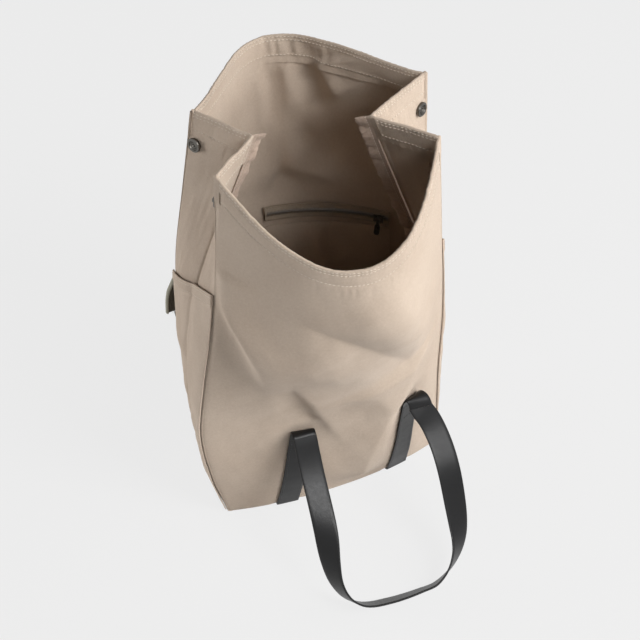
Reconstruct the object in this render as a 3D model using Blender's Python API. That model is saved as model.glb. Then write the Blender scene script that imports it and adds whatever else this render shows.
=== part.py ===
"""Tote backpack: canvas body with folding side gussets, leather strap handles and shoulder straps.

Metres, +Z up. The origin is the middle of the base, on the ground, and the front faces -Y.
"""

import math

import bmesh
import bpy
import numpy as np
from mathutils import Matrix

# Canvas body
HEIGHT = 0.500  # ground to a mouth corner
BASE_WIDTH = 0.270
BASE_DEPTH = 0.130
CANVAS = 0.0014  # cloth of the walls
SEAM_GAP = 0.0003  # clearance between pieces that touch
HEEL_RADIUS = 0.007  # where the walls turn under the base
FACING_DEPTH = 0.030  # folded band inside the mouth
FACING_CLOTH = 0.0012
BINDING_LENGTH = 0.009  # bound seam allowance, standing into the bag
FOLD_BINDING_LENGTH = 0.014  # the wider one along a gusset's fold
BINDING_CLOTH = 0.0026
HALF_WIDTH = BASE_WIDTH / 2
HALF_DEPTH = BASE_DEPTH / 2

# Leather straps: one run under the base on each side, and a carrying loop on each face
STRAP_WIDTH = 0.026
STRAP_LEATHER = 0.0022
SEWN_HEIGHT = 0.141  # ground to the end of the stitching
FOLD_RADIUS = 0.006  # where a strap folds over into its loop
HANDLE_DROP = 0.200  # fold to the far end of the loop
ARCH = {"left": 0.0, "right": 0.007}  # how far each fold stands up above its plain round
RAMP_LENGTH = 0.005  # base cloth rising beside a strap
PLATEAU_CLEAR = 0.0026
STRAP_CLEAR = 0.0006  # between the leather and the cloth it is sewn to

# Side slip pockets
POCKET_CLOTH = 0.0012
POCKET_STANDOFF = 0.0008
POCKET_GAPE = 0.013
POCKET_BACK_HEIGHT = 0.315
POCKET_FRONT_HEIGHT = 0.352

# Zip pocket inside the back wall
ZIP_LEVEL = 0.300
ZIP_DEPTH = CANVAS + 3 * SEAM_GAP  # below the outer face of the back wall
TAPE_WIDTH = 0.018
TAPE_CLOTH = 0.0008
COIL_WIDTH = 0.0056
COIL_DEPTH = 0.0022
SLIDER_LENGTH = 0.011
SLIDER_HEIGHT = 0.008
SLIDER_WALL = 0.0013
PULLER_LENGTH = 0.020
PULLER_WIDTH = 0.006
PULLER_METAL = 0.0012
PULLER_PIN = 0.0014
POUCH_DEPTH = 0.150
POUCH_DROP = 0.004  # zip tape to the pouch cloth

# Press studs near the mouth
STUD_RADIUS = 0.0075
STUD_HEIGHT = 0.0034
STUD_RIM = 0.0016
STUD_WELL = 0.0020
STUD_SEAT = 0.0008  # clearance under a stud on the twisted gusset
KNOB_RADIUS = 0.0030
KNOB_HEIGHT = 0.0022

# Shoulder straps
PAD_WIDTH = 0.055
PAD_THICKNESS = 0.010
WEB_WIDTH = 0.025
WEB_CLOTH = 0.0016
YOKE_LENGTH = 0.190
YOKE_WIDTH = 0.034
YOKE_CLOTH = 0.0020
ANCHOR_SIDE = 0.034
ANCHOR_CLOTH = 0.0024
ADJUSTER_LENGTH = 0.026  # along the webbing
ADJUSTER_BAR = 0.0044
ADJUSTER_PLATE = 0.0018
ADJUSTER_RAIL = 0.0030

# Places of the ring's corners, level by level, as shares of half the base and of the height
LEVEL_SHARES = (0.0, 0.06, 0.13, 0.30, 0.45, 0.62, 0.80, 1.0)
CORNER_SHARES = {
    "front_left": ((-0.978, -1.02, -1.07, -1.122, -1.045, -0.925, -0.845, -0.782),
                   (-0.95, -0.945, -0.93, -0.83, -0.69, -0.50, -0.29, -0.046)),
    "front_right": ((0.965, 0.955, 0.935, 0.913, 0.92, 0.905, 0.867, 0.823),
                    (-0.61, -0.61, -0.595, -0.557, -0.50, -0.42, -0.34, -0.246)),
    "right_fold": ((0.99, 1.0, 1.02, 1.04, 1.0, 0.86, 0.66, 0.437),
                   (0.17, 0.16, 0.15, 0.14, 0.13, 0.16, 0.28, 0.43)),
    "back_right": ((0.98, 0.985, 0.985, 0.98, 0.97, 0.955, 0.95, 0.948),
                   (0.95, 0.95, 0.93, 0.86, 0.80, 0.78, 0.88, 1.06)),
    "back_left": ((-0.98, -1.0, -1.02, -1.045, -1.05, -1.01, -0.90, -0.78),
                  (1.0, 1.02, 1.03, 1.07, 1.13, 1.18, 1.25, 1.306)),
    "left_fold": ((-1.0, -1.04, -1.06, -1.08, -1.06, -0.95, -0.72, -0.444),
                  (0.03, 0.04, 0.05, 0.12, 0.20, 0.33, 0.45, 0.554)),
}
RING = tuple(CORNER_SHARES)

# Each wall runs from one corner to the next: how far its middle bows out and sags, where the
# crest of the bow lies, and the two powers that round it
PANELS = {
    "front_panel": dict(out=(0, -1), bow_shares=(0.26, 0.34, 0.42, 0.50, 0.76, 1.22, 1.385, 1.47),
                        sag_shares=(0, 0, 0, 0, 0.025, 0.056, 0.09, 0.12),
                        crest_shares=(0.55, 0.60, 0.66, 0.74, 0.62, 0.53, 0.52, 0.52),
                        round_shares=(2.2, 2.0, 1.6, 1.25, 1.7, 2.1, 2.2, 2.2),
                        fall_shares=(1, 1, 1, 1, 1, 1, 1, 1)),
    "right_gusset_front": dict(out=(1, 0), bow_shares=(0.03, 0.04, 0.05, 0.05, 0.05, 0.03, 0, 0)),
    "right_gusset_back": dict(out=(1, 0), bow_shares=(0.03, 0.04, 0.05, 0.05, 0.05, 0.03, 0, 0)),
    "back_panel": dict(out=(0, 1), bow_shares=(0.07, 0.09, 0.12, 0.19, 0.42, 0.82, 1.31, 1.68),
                       sag_shares=(0, 0, 0, 0, 0.006, 0.016, 0.026, 0.04),
                       crest_shares=(0.5, 0.5, 0.5, 0.5, 0.52, 0.54, 0.55, 0.55),
                       round_shares=(2, 2, 2, 2, 2, 2, 2, 2),
                       fall_shares=(1, 1, 1, 1, 1.2, 1.4, 1.5, 1.5)),
    "left_gusset_back": dict(out=(-1, 0), bow_shares=(0.03, 0.04, 0.05, 0.05, 0.05, 0.03, 0, 0)),
    "left_gusset_front": dict(out=(-1, 0), bow_shares=(0.03, 0.04, 0.05, 0.05, 0.05, 0.03, 0, 0)),
}
PANEL_NAMES = tuple(PANELS)
FLAT_SHARES = (0,) * len(LEVEL_SHARES)
HALF_SHARES = (0.5,) * len(LEVEL_SHARES)
SQUARE_SHARES = (2,) * len(LEVEL_SHARES)
ONE_SHARES = (1,) * len(LEVEL_SHARES)

# Rows and columns of the cloth; rows below zero run round the heel
HEEL_ROW_SHARES = (-1.0, -0.66, -0.33)
WALL_ROW_SHARES = (0.0, 0.04, 0.08, 0.13, 0.18, 0.23, 0.30, 0.36, 0.42, 0.49, 0.56, 0.63,
                   0.70, 0.77, 0.83, 0.88)
FACE_COLUMN_SHARES = (0.0, 0.05, 0.11, 0.17, 0.37, 0.44, 0.51, 0.58, 0.65, 0.91, 0.96, 1.0)
GUSSET_COLUMN_SHARES = (0.0, 0.28, 0.55, 0.80, 1.0)
STRAP_COLUMN_SHARES = (-0.5, -0.17, 0.17, 0.5)

# Straps across the width, as shares of half the base: at the base and at the end of the stitching
STRAP_FOOT_SHARES = {"left": -0.464, "right": 0.541}
STRAP_TOP_SHARES = {"left": -0.322, "right": 0.600}

# Carrying loop in its own plane: across (shares of the spread), down (shares of the drop) and
# how far the leather has turned on edge (shares of a right angle)
LOOP_SHARES = (
    (-0.500, 0.00, 0.00), (-0.500, 0.14, 0.00), (-0.502, 0.34, 0.02), (-0.508, 0.53, 0.16),
    (-0.522, 0.70, 0.50), (-0.512, 0.82, 0.72), (-0.455, 0.912, 0.86), (-0.360, 0.968, 0.94),
    (-0.250, 0.993, 0.97), (-0.090, 1.00, 0.97), (0.060, 1.00, 0.95), (0.210, 0.993, 0.92),
    (0.363, 0.980, 0.88), (0.505, 0.925, 0.76), (0.605, 0.85, 0.60), (0.660, 0.77, 0.42),
    (0.682, 0.68, 0.24), (0.690, 0.555, 0.08), (0.688, 0.395, 0.00), (0.668, 0.22, 0.00),
    (0.610, 0.09, 0.00), (0.500, 0.00, 0.00),
)
LOOP_STATIONS = 44
FOLD_STEPS = 7
STEEPEST_SHARE = 0.98  # drop of a loop for its length, at most
POCKET_ROWS = 12
POCKET_GAPE_POWER = 1.6

# Shoulder pad along the outside of the back wall: across it, up it and clear of it
PAD_SHARES = ((0.62, 0.80, 0.0), (0.64, 0.76, 0.05), (0.69, 0.70, 0.20), (0.77, 0.60, 0.34),
              (0.85, 0.51, 0.48), (0.91, 0.43, 0.60), (0.94, 0.37, 0.66))
PAD_STANDOFF = 0.034
PAD_STATIONS = 16
PAD_SIDES = 10
PAD_TAPER_STATIONS = 2.5  # stations over which an end thins or narrows
PAD_TOP_THINNING = 0.33
PAD_END_NARROWING = 0.22
PAD_SQUARENESS = (0.6, 0.75)  # powers that square the round section, across and through
ANCHOR_ACROSS_SHARE = 0.93
ANCHOR_UP_SHARE = 0.10
ADJUSTER_SHARE = 0.42  # down the webbing

STUD_ACROSS_SHARE = 0.17
STUD_UP_SHARE = 0.925
ZIP_SPAN_SHARES = (0.12, 0.60)  # across the back wall, from its right seam
ZIP_STATIONS = 16
# Puller: down it and across it, as shares of its length and width
PULLER_SHARES = ((-0.03, 0.5), (0.30, 0.5), (0.45, 1.0), (0.90, 1.0), (1.0, 0.5))
ROUND_STEPS = 20
STUD_STEPS = 18

COLOURS = {
    "canvas": ((0.62, 0.51, 0.39), 0.92, 0.0),
    "facing": ((0.60, 0.49, 0.37), 0.92, 0.0),
    "binding": ((0.58, 0.47, 0.36), 0.88, 0.0),
    "leather": ((0.045, 0.045, 0.050), 0.42, 0.0),
    "gunmetal": ((0.16, 0.155, 0.15), 0.30, 1.0),
    "zip_tape": ((0.40, 0.31, 0.22), 0.85, 0.0),
    "webbing": ((0.03, 0.03, 0.032), 0.75, 0.0),
}


def table(values, level):
    """Smooth value at a level, through the values listed at LEVEL_SHARES."""
    levels = LEVEL_SHARES
    last = len(levels) - 1
    i = 0
    while i < last - 1 and level > levels[i + 1]:
        i += 1

    def slope(k):
        low, high = max(k - 1, 0), min(k + 1, last)
        return (values[high] - values[low]) / (levels[high] - levels[low])

    span = levels[i + 1] - levels[i]
    t = (level - levels[i]) / span
    a, b = values[i], values[i + 1]
    return ((2 * t**3 - 3 * t**2 + 1) * a + (t**3 - 2 * t**2 + t) * span * slope(i)
            + (3 * t**2 - 2 * t**3) * b + (t**3 - t**2) * span * slope(i + 1))


def corner_point(name, level):
    """Outer point of a seam or gusset fold."""
    across, deep = CORNER_SHARES[name]
    return np.array([table(across, level) * HALF_WIDTH, table(deep, level) * HALF_DEPTH,
                     HEEL_RADIUS + level * (HEIGHT - HEEL_RADIUS)])


def neighbours(panel):
    i = PANEL_NAMES.index(panel)
    return PANEL_NAMES[i - 1], PANEL_NAMES[(i + 1) % len(PANEL_NAMES)]


def wall_point(panel, across, level):
    """Outer face of a wall."""
    i = PANEL_NAMES.index(panel)
    rule = PANELS[panel]
    start = corner_point(RING[i], level)
    end = corner_point(RING[(i + 1) % len(RING)], level)
    crest = table(rule.get("crest_shares", HALF_SHARES), level)
    away = (across - crest) / (crest if across < crest else 1 - crest)
    hump = max(1 - abs(away) ** table(rule.get("round_shares", SQUARE_SHARES), level), 0.0)
    hump **= table(rule.get("fall_shares", ONE_SHARES), level)
    point = start + (end - start) * across
    bow = table(rule["bow_shares"], level) * HALF_DEPTH * hump
    point[0] += rule["out"][0] * bow
    point[1] += rule["out"][1] * bow
    point[2] -= table(rule.get("sag_shares", FLAT_SHARES), level) * HEIGHT * hump
    return point


def unit(vector):
    return vector / np.linalg.norm(vector)


def wall_frame(panel, across, level):
    """Directions along and up a wall, and its outward normal."""
    step = 1e-3
    a, b = max(across - step, 0.0), min(across + step, 1.0)
    low, high = max(level - step, 0.0), min(level + step, 1.0)
    along = unit(wall_point(panel, b, level) - wall_point(panel, a, level))
    up = unit(wall_point(panel, across, high) - wall_point(panel, across, low))
    return along, up, unit(np.cross(along, up))


def plan_normal(panel, across):
    along, up, normal = wall_frame(panel, across, 0.0)
    return unit(np.array([along[1], -along[0], 0.0]))


def mitre(panel, across, normal_at):
    """Vector that offsets a point by one unit from a wall, and from its neighbour at a seam.

    Also how far to step back from the seam for each unit of half the clearance.
    """
    normal = normal_at(panel, across)
    before, after = neighbours(panel)
    if across == 0:
        other = normal_at(before, 1.0)
    elif across == 1:
        other = normal_at(after, 0.0)
    else:
        return normal, 0.0
    cosine = float(normal @ other)
    return (normal + other) / (1 + cosine), 1 / math.sqrt((1 + cosine) / 2)


def base_lift(x):
    """Rise of the base cloth over the straps that pass under it."""
    rise = 0.0
    for share in STRAP_FOOT_SHARES.values():
        beyond = abs(x - share * HALF_WIDTH) - STRAP_WIDTH / 2 - PLATEAU_CLEAR
        rise = max(rise, min(1 - beyond / RAMP_LENGTH, 1.0))
    return rise * (STRAP_LEATHER + STRAP_CLEAR)


def skin(panel, across, row, depth, clearance=0.0):
    """Point at a depth inside a wall's outer face; rows below zero run round the heel.

    clearance is the gap kept to the neighbouring wall at a seam.
    """
    level = max(row, 0.0)
    along, up, _ = wall_frame(panel, across, level)
    point = wall_point(panel, across, level)
    if row < 0:
        outward, back = mitre(panel, across, plan_normal)
        lift = base_lift(point[0])
        turn = -row * math.pi / 2
        inside = HEEL_RADIUS - (HEEL_RADIUS - depth) * math.cos(turn)
        point = point - outward * inside
        point[2] = HEEL_RADIUS - (HEEL_RADIUS - depth) * math.sin(turn)
        point[2] += lift * math.sin(turn)
    else:
        outward, back = mitre(panel, across, lambda p, a: wall_frame(p, a, level)[2])
        point = point - outward * depth
    if across in (0, 1) and clearance:
        point = point + along * (1 if across == 0 else -1) * back * clearance / 2
    return point


def make(name, colour, mesh_builder, smooth=None):
    """Object from a function that fills a bmesh."""
    mesh = bpy.data.meshes.new(name)
    bm = bmesh.new()
    mesh_builder(bm)
    bmesh.ops.recalc_face_normals(bm, faces=bm.faces)
    if bm.calc_volume(signed=True) < 0:
        bmesh.ops.reverse_faces(bm, faces=bm.faces)
    bm.to_mesh(mesh)
    bm.free()
    mesh.materials.append(MATERIALS[colour])
    if smooth is not None:
        mesh.shade_smooth()
        mesh.set_sharp_from_angle(angle=smooth)
    obj = bpy.data.objects.new(name, mesh)
    bpy.context.scene.collection.objects.link(obj)
    return obj


def put_origin(obj, place):
    """Move an object's origin without moving its shape."""
    obj.data.transform(Matrix.Translation([-value for value in place]))
    obj.location = place
    return obj


def slab(name, colour, outer, inner):
    """Closed sheet between two grids of points."""
    def build(bm):
        sides = []
        for grid in (outer, inner):
            sides.append([[bm.verts.new(p) for p in row] for row in grid])
        rows, columns = len(outer), len(outer[0])
        for grid in sides:
            for r in range(rows - 1):
                for c in range(columns - 1):
                    bm.faces.new((grid[r][c], grid[r][c + 1], grid[r + 1][c + 1], grid[r + 1][c]))
        a, b = sides
        for r in range(rows - 1):
            for c in (0, columns - 1):
                bm.faces.new((a[r][c], a[r + 1][c], b[r + 1][c], b[r][c]))
        for c in range(columns - 1):
            for r in (0, rows - 1):
                bm.faces.new((a[r][c], a[r][c + 1], b[r][c + 1], b[r][c]))
    return make(name, colour, build, smooth=math.radians(40))


def sheet(name, colour, panel, rows, columns, depth, cloth, clearance=SEAM_GAP):
    """Cloth that follows one wall."""
    grids = [[[skin(panel, c, r, d, clearance) for c in columns] for r in rows]
             for d in (depth, depth + cloth)]
    return slab(name, colour, *grids)


def rod(name, colour, sections, smooth=math.radians(40)):
    """Closed solid through a row of sections with the same number of corners."""
    def build(bm):
        rings = [[bm.verts.new(p) for p in section] for section in sections]
        count = len(rings[0])
        for a, b in zip(rings, rings[1:]):
            for i in range(count):
                j = (i + 1) % count
                bm.faces.new((a[i], a[j], b[j], b[i]))
        bm.faces.new(rings[0])
        bm.faces.new(rings[-1])
    return make(name, colour, build, smooth)


def box_section(centre, side, rise, half_side, half_rise):
    return [centre + side * a * half_side + rise * b * half_rise
            for a, b in ((-1, -1), (1, -1), (1, 1), (-1, 1))]


def smooth_route(points, stations):
    """Evenly spread points on a smooth curve through the given ones."""
    points = np.asarray(points, float)
    fine = []
    for i in range(len(points) - 1):
        p0, p1 = points[max(i - 1, 0)], points[i]
        p2, p3 = points[i + 1], points[min(i + 2, len(points) - 1)]
        for k in range(ROUND_STEPS):
            t = k / ROUND_STEPS
            fine.append(p1 + (p2 - p0) * t / 2 + (p0 * 2 - p1 * 5 + p2 * 4 - p3) * t**2 / 2
                        + (p1 * 3 - p0 - p2 * 3 + p3) * t**3 / 2)
    fine.append(points[-1])
    fine = np.array(fine)
    run = np.concatenate([[0], np.cumsum(np.linalg.norm(np.diff(fine[:, :3], axis=0), axis=1))])
    at = np.linspace(0, run[-1], stations)
    return np.stack([np.interp(at, run, fine[:, k]) for k in range(fine.shape[1])], axis=1)


def face_columns(panel):
    """Columns of a front or back wall, with lines beside each strap's foot."""
    first = wall_point(panel, 0.0, 0.0)[0]
    last = wall_point(panel, 1.0, 0.0)[0]
    edges = []
    for share in STRAP_FOOT_SHARES.values():
        for side in (-1, 1):
            for reach in (PLATEAU_CLEAR, PLATEAU_CLEAR + RAMP_LENGTH):
                x = share * HALF_WIDTH + side * (STRAP_WIDTH / 2 + reach)
                edges.append((x - first) / (last - first))
    crowd = RAMP_LENGTH * 2 / BASE_WIDTH
    plain = [c for c in FACE_COLUMN_SHARES if all(abs(c - e) > crowd for e in edges)]
    return sorted(set(plain) | set(edges) | {0.0, 1.0})


def columns_of(panel):
    return GUSSET_COLUMN_SHARES if "gusset" in panel else face_columns(panel)


def facing_level():
    return 1 - FACING_DEPTH / HEIGHT


def wall_rows():
    top = facing_level()
    sewn = row_of_height(SEWN_HEIGHT)
    plain = tuple(r for r in WALL_ROW_SHARES if r < top and abs(r - sewn) > HEEL_RADIUS / HEIGHT)
    return HEEL_ROW_SHARES + tuple(sorted(plain + (sewn,))) + (top, (1 + top) / 2, 1.0)


def lines_within(lines, low, high):
    return [low] + [line for line in lines if low < line < high] + [high]


def make_walls():
    for panel in PANEL_NAMES:
        sheet(panel, "canvas", panel, wall_rows(), columns_of(panel), 0.0, CANVAS)
    top = facing_level()
    rows = (top, (1 + top) / 2, 1.0)
    for panel in PANEL_NAMES:
        sheet(panel + "_facing", "facing", panel, rows, columns_of(panel),
              CANVAS + SEAM_GAP, FACING_CLOTH)


def base_outline(panel, across):
    """Edge of the base cloth, just inside the turned-under wall."""
    outward, _ = mitre(panel, across, plan_normal)
    return wall_point(panel, across, 0.0) - outward * (HEEL_RADIUS + SEAM_GAP)


def make_base():
    """Base cloth: ruled from front to back between the turned-under walls."""
    columns = face_columns("front_panel")
    foot = {panel: [wall_point(panel, end, 0.0)[0] for end in (0.0, 1.0)]
            for panel in ("front_panel", "back_panel")}
    rows = [i / 8 for i in range(9)]

    def side(front, back, w):
        """Point up one side of the base, from the front corner to the back one."""
        left = front.startswith("left")
        panel, across = (front, 2 * w) if w <= 0.5 else (back, 2 * w - 1)
        return base_outline(panel, 1 - across if left else across)

    low, high = [], []
    for w in rows:
        line = []
        for u in columns:
            x = foot["front_panel"][0] + (foot["front_panel"][1] - foot["front_panel"][0]) * u
            behind = (x - foot["back_panel"][0]) / (foot["back_panel"][1] - foot["back_panel"][0])
            if u == 0:
                point = side("left_gusset_front", "left_gusset_back", w)
            elif u == 1:
                point = side("right_gusset_front", "right_gusset_back", w)
            else:
                point = (1 - w) * base_outline("front_panel", u) + w * base_outline("back_panel", behind)
            point[2] = base_lift(x)
            line.append(point)
        low.append(line)
        high.append([p + np.array([0, 0, CANVAS]) for p in line])
    slab("base_panel", "canvas", low, high)


def make_binding(name, panel, rows, length=BINDING_LENGTH, cover=None):
    """Bound seam allowance standing into the bag from the far edge of a panel.

    It starts where a corner is wide enough for it, or over the cloth that covers a gusset fold.
    """
    sections = []
    for row in rows:
        foot = skin(panel, 1.0, row, CANVAS)
        outward, widen = mitre(panel, 1.0, lambda p, a: wall_frame(p, a, row)[2])
        slope = math.sqrt(widen**2 - 1)
        start = (BINDING_CLOTH / 2 * slope + 2 * SEAM_GAP * widen) if cover is None else cover * widen
        inward = -unit(outward)
        up = wall_frame(panel, 1.0, row)[1]
        inward = unit(inward - up * (inward @ up))
        across = unit(np.cross(up, inward))
        middle = foot + inward * (start + length / 2)
        sections.append(box_section(middle, across, inward, BINDING_CLOTH / 2, length / 2))
    rod(name, "binding", sections)


def make_bindings():
    rows = [r for r in wall_rows() if r >= WALL_ROW_SHARES[1] and r < facing_level()]
    for name, panel in (("front_right", "front_panel"), ("back_right", "right_gusset_back"),
                        ("back_left", "back_panel"), ("front_left", "left_gusset_front")):
        make_binding(name + "_binding", panel, rows[:-1])
    rows = [r for r in wall_rows() if r >= WALL_ROW_SHARES[1]]
    for side, panel in (("right", "right_gusset_front"), ("left", "left_gusset_back")):
        make_binding(side + "_fold_binding", panel, rows, FOLD_BINDING_LENGTH,
                     FACING_CLOTH + 2 * SEAM_GAP)


def row_of_height(height):
    return (height - HEEL_RADIUS) / (HEIGHT - HEEL_RADIUS)


def make_side_pocket(side):
    """Cloth over the lower gusset, open along its slanted top and gaping in the middle."""
    halves = [side + "_gusset_front", side + "_gusset_back"]
    if side == "left":
        halves.reverse()
    columns = [(halves[0], c) for c in GUSSET_COLUMN_SHARES]
    columns += [(halves[1], c) for c in GUSSET_COLUMN_SHARES[1:]]
    reach = [c if panel == halves[0] else 1 + c for panel, c in columns]
    grids = []
    for cloth in (POCKET_CLOTH, 0.0):
        grid = []
        for k in range(POCKET_ROWS + 1):
            line = []
            for (panel, c), r in zip(columns, reach):
                share = r / 2
                toward_back = share if side == "right" else 1 - share
                top = row_of_height(POCKET_FRONT_HEIGHT
                                    + (POCKET_BACK_HEIGHT - POCKET_FRONT_HEIGHT) * toward_back)
                row = top * k / POCKET_ROWS
                gape = POCKET_GAPE * math.sin(math.pi * share) * (k / POCKET_ROWS) ** POCKET_GAPE_POWER
                clearance = SEAM_GAP if 0 < share < 1 else 4 * POCKET_CLOTH
                along = wall_frame(panel, c, row)[0]
                step = 0 if 0 < share < 1 else (1 if share == 0 else -1)
                point = skin(panel, c, row, -(POCKET_STANDOFF + gape + cloth))
                line.append(point + along * step * clearance)
            grid.append(line)
        grids.append(grid)
    slab(side + "_pocket", "canvas", *grids)


def strap_across(panel, side, row):
    """Where a strap crosses a wall's row."""
    sewn = row_of_height(SEWN_HEIGHT)
    share = max(row, 0.0) / sewn
    x = HALF_WIDTH * ((1 - share) * STRAP_FOOT_SHARES[side] + share * STRAP_TOP_SHARES[side])
    level = max(row, 0.0)
    first, last = wall_point(panel, 0.0, level)[0], wall_point(panel, 1.0, level)[0]
    return (x - first) / (last - first)


def strap_wall_row(panel, side, row, depth):
    """One row of strap points on a wall, always listed towards +X."""
    middle = strap_across(panel, side, row)
    level = max(row, 0.0)
    step = 1e-3
    stretch = np.linalg.norm(wall_point(panel, middle + step, level)
                             - wall_point(panel, middle - step, level)) / (2 * step)
    if row < 0:
        stretch = abs(wall_point(panel, 1.0, 0.0)[0] - wall_point(panel, 0.0, 0.0)[0])
    turn = 1 if panel == "front_panel" else -1
    return [skin(panel, middle + turn * c * STRAP_WIDTH / stretch, row, depth)
            for c in STRAP_COLUMN_SHARES]


def fold_place(panel, side):
    """End of the stitching: the middle of the leather, and the way out from the wall."""
    row = row_of_height(SEWN_HEIGHT)
    middle = strap_across(panel, side, row)
    point = skin(panel, middle, row, -STRAP_CLEAR - STRAP_LEATHER / 2)
    return point, -1 if panel == "front_panel" else 1


def hinge_line(panel):
    """Height and depth of the line that a carrying loop swings on, and its resting angle."""
    forward = -1 if panel == "front_panel" else 1
    reach = max(forward * fold_place(panel, side)[0][1] for side in STRAP_FOOT_SHARES)
    height = fold_place(panel, "left")[0][2]
    long = HANDLE_DROP + STRAP_LEATHER / 2
    lean = max((1 - turned) * math.pi / 2 for _, down, turned in LOOP_SHARES if down == 1)
    angle = math.asin(min(height / long, STEEPEST_SHARE))
    for _ in range(ROUND_STEPS):
        turn = math.pi / 2 + angle
        axis_z = height + FOLD_RADIUS * math.sin(turn) + STRAP_LEATHER / 2 * math.cos(angle)
        drop = axis_z - STRAP_LEATHER * math.cos(angle) / 2 - SEAM_GAP
        drop -= STRAP_WIDTH / 2 * math.cos(angle - lean)
        angle = math.asin(min(drop / long, STEEPEST_SHARE))
    axis_y = forward * (reach + FOLD_RADIUS * (1 - math.cos(turn))
                        + STRAP_LEATHER / 2 * math.sin(angle))
    return axis_y, axis_z, angle


def make_strap_run(side):
    """Leather sewn up the front wall, under the base and up the back wall, folded over at each end."""
    sewn = row_of_height(SEWN_HEIGHT)
    rows = [r for r in wall_rows() if 0 <= r < sewn - SEAM_GAP] + [sewn]
    grids = []
    for depth in (-STRAP_CLEAR - STRAP_LEATHER, -STRAP_CLEAR):
        front = [strap_wall_row("front_panel", side, r, depth) for r in rows]
        back = [strap_wall_row("back_panel", side, r, depth) for r in rows]
        heel = [[strap_wall_row(panel, side, r, depth) for r in reversed(HEEL_ROW_SHARES)]
                for panel in ("front_panel", "back_panel")]
        grid = fold_rows("front_panel", side, depth) + front[::-1] + heel[0]
        ends = heel[0][-1], heel[1][-1]
        for w in (0.25, 0.5, 0.75):
            grid.append([a + (b - a) * w for a, b in zip(*ends)])
        grid += heel[1][::-1] + back + fold_rows("back_panel", side, depth)[::-1]
        grids.append(grid)
    slab(side + "_strap_run", "leather", *grids)


def fold_rows(panel, side, depth):
    """Rows of the fold, from its free end back to the stitching.

    The leather leaves the wall along its slope and comes level across at the hinge line.
    """
    middle, forward = fold_place(panel, side)
    axis_y, _, angle = hinge_line(panel)
    radius = FOLD_RADIUS + STRAP_LEATHER / 2 + STRAP_CLEAR + depth
    slack = abs(axis_y) - abs(middle[1]) - (FOLD_RADIUS * (1 + math.sin(angle))
                                            + STRAP_LEATHER / 2 * math.sin(angle))
    centre_depth = -STRAP_CLEAR - STRAP_LEATHER / 2
    sewn = strap_wall_row(panel, side, row_of_height(SEWN_HEIGHT), centre_depth)
    rows = []
    for k in range(1, FOLD_STEPS + 1):
        share = k / FOLD_STEPS
        turn = (math.pi / 2 + angle) * share
        reach = FOLD_RADIUS - radius * math.cos(turn) + slack * share
        arch = ARCH[side] * math.sin(math.pi * share)
        bend = np.array([0, forward * reach, radius * math.sin(turn) + arch])
        level = share * share * (3 - 2 * share)
        rows.append([middle + bend + (1 - level) * (p - middle)
                     + level * np.array([c * STRAP_WIDTH, 0, 0])
                     for c, p in zip(STRAP_COLUMN_SHARES, sewn)])
    return rows[::-1]


def make_loop(panel):
    """Carrying loop, lying out from its folds down to the ground."""
    axis_y, axis_z, angle = hinge_line(panel)
    forward = -1 if panel == "front_panel" else 1
    left, right = (STRAP_TOP_SHARES[s] * HALF_WIDTH for s in ("left", "right"))
    down = np.array([0, forward * math.cos(angle), -math.sin(angle)])
    facing = np.array([0, forward * math.sin(angle), math.cos(angle)])
    across = np.array([1.0, 0, 0])
    start = np.array([(left + right) / 2, axis_y, axis_z]) - facing * STRAP_LEATHER / 2
    start = start + down * SEAM_GAP
    route = smooth_route([((right - left) * a, HANDLE_DROP * d, HANDLE_DROP * t)
                          for a, d, t in LOOP_SHARES], LOOP_STATIONS)
    sections = []
    for i, (a, d, t) in enumerate(route):
        before, after = route[max(i - 1, 0)], route[min(i + 1, len(route) - 1)]
        along = unit(across * (after[0] - before[0]) + down * (after[1] - before[1]))
        if i in (0, len(route) - 1):
            along = down if i == 0 else -down
        outward = unit(np.cross(along, facing)) * -forward
        turn = t / HANDLE_DROP * math.pi / 2
        face = math.cos(turn) * facing + math.sin(turn) * outward
        side = unit(np.cross(along, face))
        sections.append(box_section(start + across * a + down * d, side, face,
                                    STRAP_WIDTH / 2, STRAP_LEATHER / 2))
    name = "front_handle" if panel == "front_panel" else "back_handle"
    put_origin(rod(name, "leather", sections), np.array([(left + right) / 2, axis_y, axis_z]))


def turned(name, colour, place, axis, profile, steps=STUD_STEPS):
    """Solid of revolution from (radius, height) pairs that start and end on the axis."""
    side = unit(np.cross(axis, np.array([0, 0, 1.0])))
    other = np.cross(axis, side)

    def build(bm):
        rings = []
        for radius, height in profile:
            centre = place + axis * height
            if radius == 0:
                rings.append([bm.verts.new(centre)])
                continue
            rings.append([bm.verts.new(centre + radius * (math.cos(t) * side + math.sin(t) * other))
                          for t in (2 * math.pi * k / steps for k in range(steps))])
        for a, b in zip(rings, rings[1:]):
            for k in range(steps):
                j = (k + 1) % steps
                if len(a) == 1:
                    bm.faces.new((a[0], b[k], b[j]))
                elif len(b) == 1:
                    bm.faces.new((a[k], a[j], b[0]))
                else:
                    bm.faces.new((a[k], a[j], b[j], b[k]))
    return make(name, colour, build, smooth=math.radians(35))


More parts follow.
